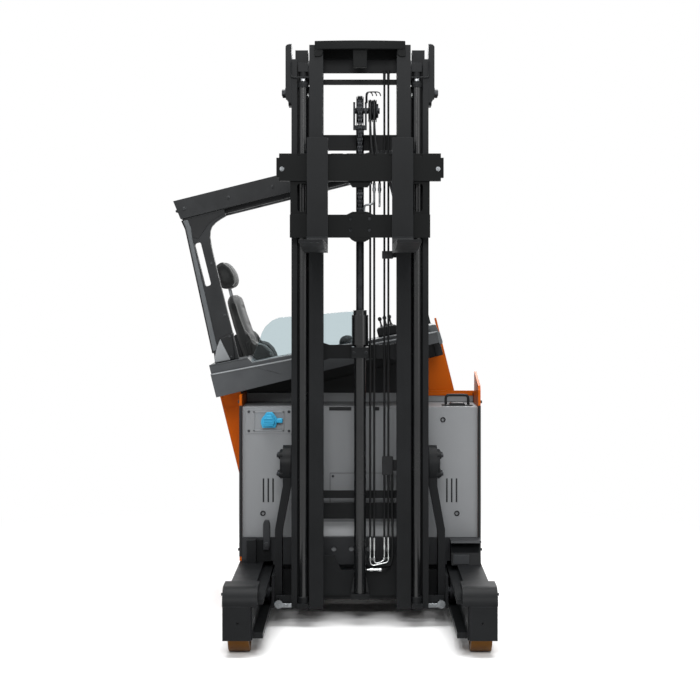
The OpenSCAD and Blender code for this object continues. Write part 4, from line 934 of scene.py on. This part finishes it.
# Hoses: two over the wheel to the fork carriage, two up the mast's wall, and one at its foot
WHEEL_HOSES, WALL_HOSES, WALL_Y = (51.8, 72.15), (123.95, 144.3), 838
HOSE_FOOT, WALL_TOP, HOSE_END, HOSE_MM = 432, 2795, 2224, 5.5
rear_y, front_y = SHEAVE_Y + HOSE_R, SHEAVE_Y - HOSE_R
up_runs = [[(x, rear_y, HOSE_FOOT), (x, rear_y, SHEAVE_Z)] for x in WHEEL_HOSES]
run = bars("hoses_behind_sheave", up_runs, HOSE_MM, "hose_rubber", None)
across_sheave(run)
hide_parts("mast_hoses")
loops = [arc((SHEAVE_Y, SHEAVE_Z), HOSE_R, 0, 180, x, 20) for x in WHEEL_HOSES]
bars("hoses_over_sheave", loops, HOSE_MM, "hose_rubber", "free_lift")
down_runs = []
for wheel_x, end_x in zip(WHEEL_HOSES, (71, 98)):
    leaning_x = wheel_x + (end_x - wheel_x) * 0.3
    down = [(wheel_x, front_y, SHEAVE_Z), (wheel_x, front_y, 2520), (leaning_x, 709, 2420),
            (end_x, 694, 2300), (end_x, 690, HOSE_END)]
    down_runs.append(eased(down, 6))
run = bars("hoses_before_sheave", down_runs, HOSE_MM, "hose_rubber", None)
across_sheave(run)
wall_runs = [[(x, WALL_Y, HOSE_FOOT), (x, WALL_Y, WALL_TOP)] for x in WALL_HOSES]
bars("hoses_on_mast_wall", wall_runs, HOSE_MM, "hose_rubber", "inner_mast")

HOSE_FITTING = ((0, 318), (8, 318), (9, 320), (9, 330), (8, 332), (4.6, 334), (4.6, 366), (6.8, 368),
                (6.8, 376), (7.6, 378), (7.6, 404), (7.1, 406), (7.6, 408), (7.6, 432), (5.6, 434), (0, 434))
FOOT_FITTING = ((0, 36), (6, 36), (6, 48), (9, 50), (9, 66), (7, 68), (7, 92), (9, 94), (9, 108), (5, 111),
                (0, 111))
bm = bmesh.new()
for x, y in [(x, rear_y) for x in WHEEL_HOSES] + [(x, WALL_Y) for x in WALL_HOSES]:
    turned(bm, HOSE_FITTING, (x, y, 0), "z", 16)
turned(bm, FOOT_FITTING, (0, 800, 275), "x", 16)
piece("hose_fittings", bm, "bright_steel", "inner_mast", TO_FRAME, TRIM["plated"])
FOOT_PIPES = (
    ((51.8, 815, 352), (51.8, 806, 338), (51.8, 804, 318), (57, 804, 302), (72, 804, 297), (112, 806, 305),
     (136, 808, 311), (144.3, 814, 322), (144.3, 830, 346)),
    ((72.15, 815, 352), (72.15, 806, 338), (72.15, 804, 322), (78, 804, 310), (92, 804, 308), (110, 808, 315),
     (121, 812, 324), (123.95, 830, 346)),
)
FOOT_HOSE = ((104, 800, 275), (126, 806, 275), (144, 822, 281), (156, 836, 296), (163, 840, 322),
             (166, 840, 360), (166, 840, 420), (164, 840, 580), (163, 840, 765))
foot_lines = [eased(line, 5) for line in FOOT_PIPES]
bars("foot_pipes", foot_lines, 3.2, "bright_steel", "inner_mast", TO_FRAME, TRIM["plated"])
bars("foot_hose", [eased(FOOT_HOSE, 6)], 6.5, "hose_rubber", "inner_mast")

CLAMP_X, CLAMP_Y, BRACKET_X, BRACKET_Y = (112, 168), (826, 850), (112, 215), (850, 855)
HOSE_END_CAP = ((0, 2752), (7.2, 2752), (7.2, 2790), (9, 2792), (9, 2806), (0, 2806))
bm = bmesh.new()
for clamp_z, bracket_z in (((750, 846), (770, 826)), ((1850, 1890), (1856, 1884))):
    block(bm, CLAMP_X, CLAMP_Y, clamp_z, 4, 2)
    block(bm, BRACKET_X, BRACKET_Y, bracket_z, 1.5, 1)
for side in (-1, 1):
    fork = [(side * x, z) for x, z in ((30, 162), (44, 162), (44, 175), (32, 240), (29, 240))]
    plate(bm, fork, "y", (760, 770), 1.5, 1)
turned(bm, ((0, 1400), (7, 1400), (7, 1449), (0, 1449)), (0, 834, 0), "z", 14)
for x in WALL_HOSES:
    turned(bm, HOSE_END_CAP, (x, WALL_Y, 0), "z", 16)
piece("hose_clamps", bm, "black_plastic", "inner_mast")

# Keeper wires bent over the hose wheel: foot and far end across the truck, the longest with one more bend
keepers = []
for x, far in ((30, 104), (33, 84), (36, 64)):
    rise = [(x, 738, 2632), (x, 730, 2668), (x + 6, 728, 2684)]
    level = [(60, 730, 2687)] if far > 100 else []
    fall = [(far - 16, 734, 2687), (far - 5, 742, 2682), (far, 752, 2670)]
    keepers.append(eased(rise + level + fall, 6))
bars("hose_keeper_wire", keepers, 2.8, "chain_steel", "free_lift")

# Fork carriage: pipes, chain anchor and the lobe under it
PIPE_FITTING = ((0, 26), (7.2, 26), (7.2, 4), (9, 2), (9, -12), (6.6, -14), (6.6, -22), (0, -22))
PIPE_CAP = ((0, -2), (14, -2), (14, 22), (12, 26), (8, 26), (7, 24), (0, 24))
ANCHOR = ((0, 1986), (8, 1986), (8, 2000), (13, 2000), (13, 2024), (9, 2026), (9, 2058), (0, 2058))
ANCHOR_SCREW = ((0, 4), (3.5, 4), (3.5, 0), (7.4, 0), (8, 1), (8, 10), (0, 10))
CARRIAGE_PIPES = (
    ((98, 690, 2180), (98, 690, 2150), (98, 689, 2122), (97, 684, 2108)),
    ((71, 690, 2180), (71, 690, 2150), (66, 690, 2126), (45, 690, 2119), (28, 690, 2116), (22, 690, 2106),
     (22, 690, 2085), (22, 684, 2070)),
)
LOBE = ((-55, 1956), (55, 1956), (42, 1942), (24, 1932), (-24, 1932), (-42, 1942))
bm = bmesh.new()
for x in (71, 98):
    turned(bm, PIPE_FITTING, (x, 690, 2200), "z", 16)
for side in (-1, 1):
    turned(bm, PIPE_CAP, (side * 47.5, 668, 2222), "z", 16)
piece("carriage_pipe_fittings", bm, "bright_steel", "fork_carriage", TO_FRAME, TRIM["pipe"])
pipe_lines = [eased(line, 6) for line in CARRIAGE_PIPES]
bars("carriage_pipes", pipe_lines, 5.0, "bright_steel", "fork_carriage", TO_FRAME, TRIM["pipe"])
bm = bmesh.new()
turned(bm, ANCHOR, (0, 696, 0), "z", 16)
for x in (-47.5, 47.5):
    for z in (1990, 2048):
        turned(bm, ANCHOR_SCREW, (x, 640, z), "y", 14)
piece("carriage_anchor", bm, "chain_steel", "fork_carriage")
heads = [((side * 388, 631.7, 2294), (0, -1, 0), 13) for side in (-1, 1)]
bolts("carriage_bolts", heads, "bright_steel", "fork_carriage", TO_FRAME, TRIM["pipe"])
bm = bmesh.new()
plate(bm, LOBE, "y", (634, 678), 3, 2)
piece("carriage_lobe", bm, "mast_paint", "fork_carriage", TO_FRAME, TRIM["carriage"])

# Beam at the mast's head, bowed to the front
HEAD_HALF, HEAD_TOP, HEAD_LOW, BOW = 227, 2938, 2896, 22
TONGUE = ((-34, 2812), (-30, 2806), (30, 2806), (34, 2812), (36, 2897), (-36, 2897))
EAR = ((227, 2897), (186, 2897), (186, 2872), (200, 2860), (227, 2860))
bm = bmesh.new()
bowed = [(HEAD_HALF * t / 12, 688 - BOW * (1 - (t / 12) ** 2)) for t in range(-12, 13)]
plate(bm, bowed + [(HEAD_HALF, 700), (-HEAD_HALF, 700)], "z", (HEAD_LOW, HEAD_TOP), 3, 2)
block(bm, (-HEAD_HALF, HEAD_HALF), (699, 850), (2921, HEAD_TOP), 2, 1)
# This back plate sits deep in the beam's recess, where the blackest paint is painted shade
block(bm, (-HEAD_HALF, HEAD_HALF), (836, 850), (2866, 2930), 2, 1)
plate(bm, TONGUE, "y", (690, 722), 3, 2)
for side in (-1, 1):
    plate(bm, [(side * x, z) for x, z in EAR], "y", (690, 701), 2, 1)
beam = piece("mast_head_beam", bm, "mast_paint", "inner_mast", TO_FRAME, TRIM["carriage"])
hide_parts("top_beam")

# Lift cylinders, brackets and tilt clevises on the outer and middle masts
LIFT_X, LIFT_Y = 285, 728
GLAND = ((0, 2708), (26, 2708), (28, 2710), (28, 2728), (25, 2731), (25, 2738), (18, 2741), (0, 2741))
GLAND_FOOT = ((0, 120), (26, 120), (28, 122), (28, 150), (24, 154), (0, 154))
FLANGE = ((344, 2634), (352, 2628), (364, 2640), (374, 2668), (374, 2914), (366, 2924), (344, 2924))
STRAP = ((258, 701, 2757), (300, 699, 2757), (336, 701, 2758), (345, 705, 2772), (346, 708, 2838))
COLLAR = ((0, 2757), (20, 2757), (21, 2758), (21, 2787), (0, 2787))
MAST_PIN = ((0, -16), (8, -16), (9, -15), (9, -3), (13, -2), (13, 0), (0, 0))
nuts = [((side * 374, y, 2685), (side, 0, 0), 30) for side in (-1, 1) for y in (760, 840)]
nuts += [((side * 360.2, y, 2800), (side, 0, 0), 16) for side in (-1, 1) for y in (750, 850)]
bolts("outer_mast_nuts", nuts, "chain_steel", "outer_mast")
bm = bmesh.new()
for side in (-1, 1):
    for ring in (GLAND, GLAND_FOOT):
        turned(bm, ring, (side * LIFT_X, LIFT_Y, 0), "z", 24)
piece("lift_cylinder_glands", bm, "mast_paint", "outer_mast")
bm = bmesh.new()
for side in (-1, 1):
    plate(bm, [(side * x, z) for x, z in FLANGE], "y", (715, 721.5), 2, 2)
piece("bracket_flanges", bm, "mast_paint", "outer_mast")
bm = bmesh.new()
for side in (-1, 1):
    block(bm, sorted((side * 340, side * 397)), (716, 734), (98, 119), 3, 2)
    turned(bm, ((0, -6), (7, -6), (8, -5), (8, 0), (0, 0)), (side * 372, 716, 108), "y", 14)
piece("tilt_clevises", bm, "bright_steel", "outer_mast", TO_FRAME, TRIM["pipe"])
straps = [eased([(side * x, y, z) for x, y, z in STRAP], 6) for side in (-1, 1)]
bars("lift_cylinder_straps", straps, 3.6, "mast_paint", "outer_mast")
bm = bmesh.new()
for side in (-1, 1):
    turned(bm, MAST_PIN, (side * 268, 758, 2672), "y", 18)
piece("middle_mast_pins", bm, "bright_steel", "middle_mast", TO_FRAME, TRIM["plated"])
bm = bmesh.new()
for side in (-1, 1):
    turned(bm, COLLAR, (side * LIFT_X, LIFT_Y, 0), "z", 24)
piece("lift_rod_collars", bm, "mast_paint", "middle_mast")
clamp_bolts = [((x, 722.8, 1377), (0, -1, 0), 12) for x in (-31, 31)]
clamp_bolts += [((side * 200, 858.3, z), (0, 1, 0), 15) for side in (-1, 1) for z in (170, 300, 2735, 2765)]
bolts("inner_mast_bolts", clamp_bolts, "mast_paint", "inner_mast")

# Four bolts round each trunnion bearing of the reach carriage
BEARING_X, BEARING_Y, BEARING_Z, BOLT_CIRCLE = 411.2, 850, 806, 66
bearing_bolts = []
for side in (-1, 1):
    for a in (0.785, 2.356, 3.927, 5.498):
        y, z = BEARING_Y + BOLT_CIRCLE * math.cos(a), BEARING_Z + BOLT_CIRCLE * math.sin(a)
        bearing_bolts.append(((side * BEARING_X, y, z), (side, 0, 0), 17))
bolts("bearing_bolts", bearing_bolts, "chain_steel", "reach_carriage")

# Chassis: battery front and bulkhead
FRAME_BARS = (((-553, -545), (958, 1062)), ((-401, -393), (958, 1062)),
              ((-553, -393), (1054, 1062)), ((-553, -393), (958, 966)))
PLUG_RING = ((8.2, 0.5), (14, 0.5), (14, -1.5), (12.5, -3), (9.5, -3), (8.2, -1.5))
bm = bmesh.new()
block(bm, (-592, -352), (997, 1000.5), (946, 1074), 1.2, 2)
for x, z in FRAME_BARS:
    block(bm, x, (993.5, 998), z, 1.0, 1)
block(bm, (-155, 160), (997.5, 1000.5), (560, 742), 1.2, 2)
piece("battery_front_plates", bm, "battery_grey", "chassis")
bm = bmesh.new()
for x, z in ((-503, 533), (502, 533), (430, 1018)):
    turned(bm, PLUG_RING, (x, 1000, z), "y", 24, True)
for x in ((-160, -45), (70, 100)):
    block(bm, x, (996.5, 1001), (1066, 1084.5), 1.2, 1)
piece("battery_plug_rings", bm, "black_plastic", "chassis")
bm = bmesh.new()
block(bm, (-608, 608), (1361, 1365.5), (1086, 1133.5), 1.2, 2)
piece("bulkhead_cover", bm, "battery_grey", "chassis")
bm = bmesh.new()
block(bm, (230, 608), (1356.5, 1361.5), (1119, 1134), 1.5, 2)
piece("bulkhead_edge", bm, "orange_paint", "chassis")
bm = bmesh.new()
block(bm, (-192, 192), (996.5, 1000.5), (416, 490), 1.5, 2)
piece("battery_foot_plate", bm, "battery_grey", "chassis", TO_FRAME, TRIM["pale_enamel"])

# Battery handle and lock lever
HANDLE_BASE = ((468, 1084), (549, 1084), (549, 1094), (540, 1100), (477, 1100), (468, 1094))
BAIL = ((450, 1105, 1088), (450, 1105, 1122), (456, 1105, 1135), (470, 1105, 1139),
        (547, 1105, 1139), (561, 1105, 1135), (567, 1105, 1122), (567, 1105, 1088))
LOCK_LEVER = ((-499, 352), (-470, 352), (-463, 372), (-463, 486), (-470, 506), (-492, 506), (-499, 486))
bm = bmesh.new()
for x in (450, 567):
    block(bm, (x - 22, x + 22), (1078, 1132), (1084, 1090), 2, 2)
plate(bm, HANDLE_BASE, "y", (1070, 1140), 2.5, 2)
handle_base = piece("handle_feet", bm, "black_plastic", "chassis")
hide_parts("battery_handle")
bars("battery_bail", [eased(BAIL, 5)], 7, "black_plastic", "chassis")
bm = bmesh.new()
plate(bm, LOCK_LEVER, "y", (938, 965.5), 5, 3)
turned(bm, ((0, -8), (10, -8), (12, -6), (12, 2), (0, 2)), (-481, 938, 380), "y", 18)
piece("battery_lock_lever", bm, "frame_grey", "chassis")

# Bolts of the chassis: place, axis and size across flats
frame_bolts = [((x, 996.8, z), (0, -1, 0), 8) for x in (-576, -368) for z in (960, 1060)]
frame_bolts += [((x, 997.3, z), (0, -1, 0), 8) for x in (-140, 145) for z in (576, 726)]
frame_bolts += [((x, y, 420.3), (0, 0, 1), 22) for x in (-320, 80) for y in (1425, 1825)]
for side in (-1, 1):
    frame_bolts += [((side * 624.3, y, z), (side, 0, 0), 13) for y in (1010, 1352) for z in (345, 1110)]
for side in (-1, 1):
    frame_bolts += [((side * 636.2, y, 285), (side, 0, 0), 12) for y in (60, 200)]
bolts("chassis_bolts", frame_bolts, "frame_grey", "chassis")
# Black strips along the side panels' front edges, which make those edges dark, and three narrow black bars
# each side on the battery's front
bm = bmesh.new()
for side in (-1, 1):
    block(bm, sorted((side * 610.5, side * 625)), (981, 986), (312, 1092), 2, 2)
    for i in (-1, 0, 1):
        x = side * 475 + 25 * i
        block(bm, (x - 4, x + 4), (1003, 1008), (590, 714), 1, 1)
piece("panel_edge_trim", bm, "black_plastic", "chassis")
cover = [(-155, 560), (-155, 742), (160, 742), (160, 560), (-155, 560)]
cover_line = [(x, 997.4, z) for x, z in cover]
bars("hatch_seam", [cover_line], 1.3, "black_plastic", "chassis", TO_FRAME, None, 6)

# Battery plug: its outline about its own middle, a smaller step in front, a spout and grip ribs
PLUG = ((-42, -16), (-33, -40), (36, -38), (46, 5), (18, 42), (-11, 42), (-40, 5))
bm = bmesh.new()
plate(bm, [(x - 471, z + 1017) for x, z in PLUG], "y", (972, 1000), 5, 2)
plate(bm, [(x * 0.72 - 471, z * 0.72 + 1015) for x, z in PLUG], "y", (954, 974), 5, 2)
block(bm, (-429, -399), (966, 994), (1003, 1027), 6, 3)
for z in (1000, 1013, 1026):
    block(bm, (-496, -448), (950, 956), (z - 3, z + 3), 1.5, 1)
plug_body = piece("battery_plug", bm, "blue_plastic", "chassis")
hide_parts("battery_connector")

# Wheel hoods and axle ends
AXLE_CAP = ((0, 634), (24, 634), (28, 632), (30, 628), (30, 622), (0, 622))
bm = bmesh.new()
block(bm, (474, 556), (837, 848), (296, 344), 2, 2)
plate(bm, ((838, 402), (965, 402), (965, 413), (932, 413), (850, 413)), "x", (462, 618), 3, 2)
piece("hood_plate", bm, "frame_grey", "chassis")
bm = bmesh.new()
for side in (-1, 1):
    turned(bm, [(radius, side * along) for radius, along in AXLE_CAP], (0, 175, 142.5), "x", 26)
piece("axle_caps", bm, "chain_steel", "chassis")


def floor_finish(name, colour, clear_from, clear_to):
    """Pale matt floor under the truck that runs out into the white backdrop."""
    made = bpy.data.materials.new(name)
    made.use_nodes = True
    tree = made.node_tree
    tree.nodes.clear()
    place = add(tree, "ShaderNodeTexCoord").outputs["Object"]
    length = add(tree, "ShaderNodeVectorMath", {"operation": "LENGTH"}, i0=place)
    out = add(tree, "ShaderNodeMapRange", {"interpolation_type": "SMOOTHSTEP"}, Value=length.outputs["Value"],
              From_Min=clear_from, From_Max=clear_to)
    matt = add(tree, "ShaderNodeBsdfDiffuse", Color=shade(colour))
    white = add(tree, "ShaderNodeEmission", Color=(1, 1, 1, 1), Strength=1.0)
    mix = add(tree, "ShaderNodeMixShader", i0=out.outputs[0], i1=matt.outputs[0], i2=white.outputs[0])
    add(tree, "ShaderNodeOutputMaterial", Surface=mix.outputs[0])
    return made


bm = bmesh.new()
bmesh.ops.create_circle(bm, cap_ends=True, segments=64, radius=30.0)
floor_mesh = bpy.data.meshes.new("studio_floor")
bm.to_mesh(floor_mesh)
bm.free()
floor = bpy.data.objects.new("studio_floor", floor_mesh)
floor_mesh.materials.append(floor_finish("pale_floor_vinyl", "#fbfbfb", 1.6, 4.5))
scene.collection.objects.link(floor)

scene.view_settings.view_transform = "Standard"
world = bpy.data.worlds.new("white_studio")
scene.world = world
world.use_nodes = True
tree = world.node_tree
tree.nodes.clear()
ray = add(tree, "ShaderNodeLightPath").outputs
seen = ray["Is Camera Ray"]
for kind in ("Is Glossy Ray", "Is Transmission Ray"):
    seen = add(tree, "ShaderNodeMath", {"operation": "MAXIMUM"}, i0=seen, i1=ray[kind]).outputs[0]
soft_light = add(tree, "ShaderNodeBackground", Color=(1, 1, 1, 1), Strength=0.3)
backdrop = add(tree, "ShaderNodeBackground", Color=(1, 1, 1, 1), Strength=1.0)
mix = add(tree, "ShaderNodeMixShader", i0=seen, i1=soft_light.outputs[0], i2=backdrop.outputs[0])
add(tree, "ShaderNodeOutputWorld", Surface=mix.outputs[0])

# Each softbox: name, place, aim, width, height, watts
SOFTBOXES = (
    ("softbox_top", (0.2, -0.2, 5.2), (0.2, 0.3, 0.8), 4.5, 4.5, 440.0),
    ("softbox_front", (0.1, -9.0, 5.4), (0.15, 0.3, 0.8), 3.2, 2.2, 480.0),
    ("softbox_left", (-4.6, -4.6, 3.4), (0.0, 0.2, 1.2), 2.6, 3.2, 45.0),
    ("softbox_right", (4.8, -4.2, 2.8), (0.2, 0.2, 1.2), 2.2, 3.2, 60.0),
    ("softbox_back", (0.5, 5.5, 3.6), (0.2, 0.6, 1.4), 4.0, 2.4, 130.0),
)
for name, place, aim, width, height, watts in SOFTBOXES:
    lamp = bpy.data.lights.new(name, "AREA")
    lamp.shape = "RECTANGLE"
    lamp.size, lamp.size_y, lamp.energy = width, height, watts
    holder = bpy.data.objects.new(name, lamp)
    holder.location = place
    holder.rotation_euler = (Vector(aim) - Vector(place)).to_track_quat("-Z", "Y").to_euler()
    scene.collection.objects.link(holder)

# The photograph: level camera 7.94 m in front of the legs, on the truck's middle plane. Its picture is
# square, and the pixel it looks at lies off the middle
SENSOR_MM, PICTURE_PX, FOCAL_PX, LOOKS_AT_PX = 36.0, 700, 1725, (360, 280)
CAMERA_PLACE = (0, -7938, 1742)
camera = bpy.data.cameras.new("photo_camera")
camera.sensor_width = SENSOR_MM
camera.lens = SENSOR_MM * FOCAL_PX / PICTURE_PX
camera.shift_x = (PICTURE_PX / 2 - LOOKS_AT_PX[0]) / PICTURE_PX
camera.shift_y = (LOOKS_AT_PX[1] - PICTURE_PX / 2) / PICTURE_PX
holder = bpy.data.objects.new("photo_camera", camera)
holder.location = TO_FRAME @ Vector(CAMERA_PLACE)
holder.rotation_euler = (math.radians(90), 0, 0)
scene.collection.objects.link(holder)
scene.camera = holder
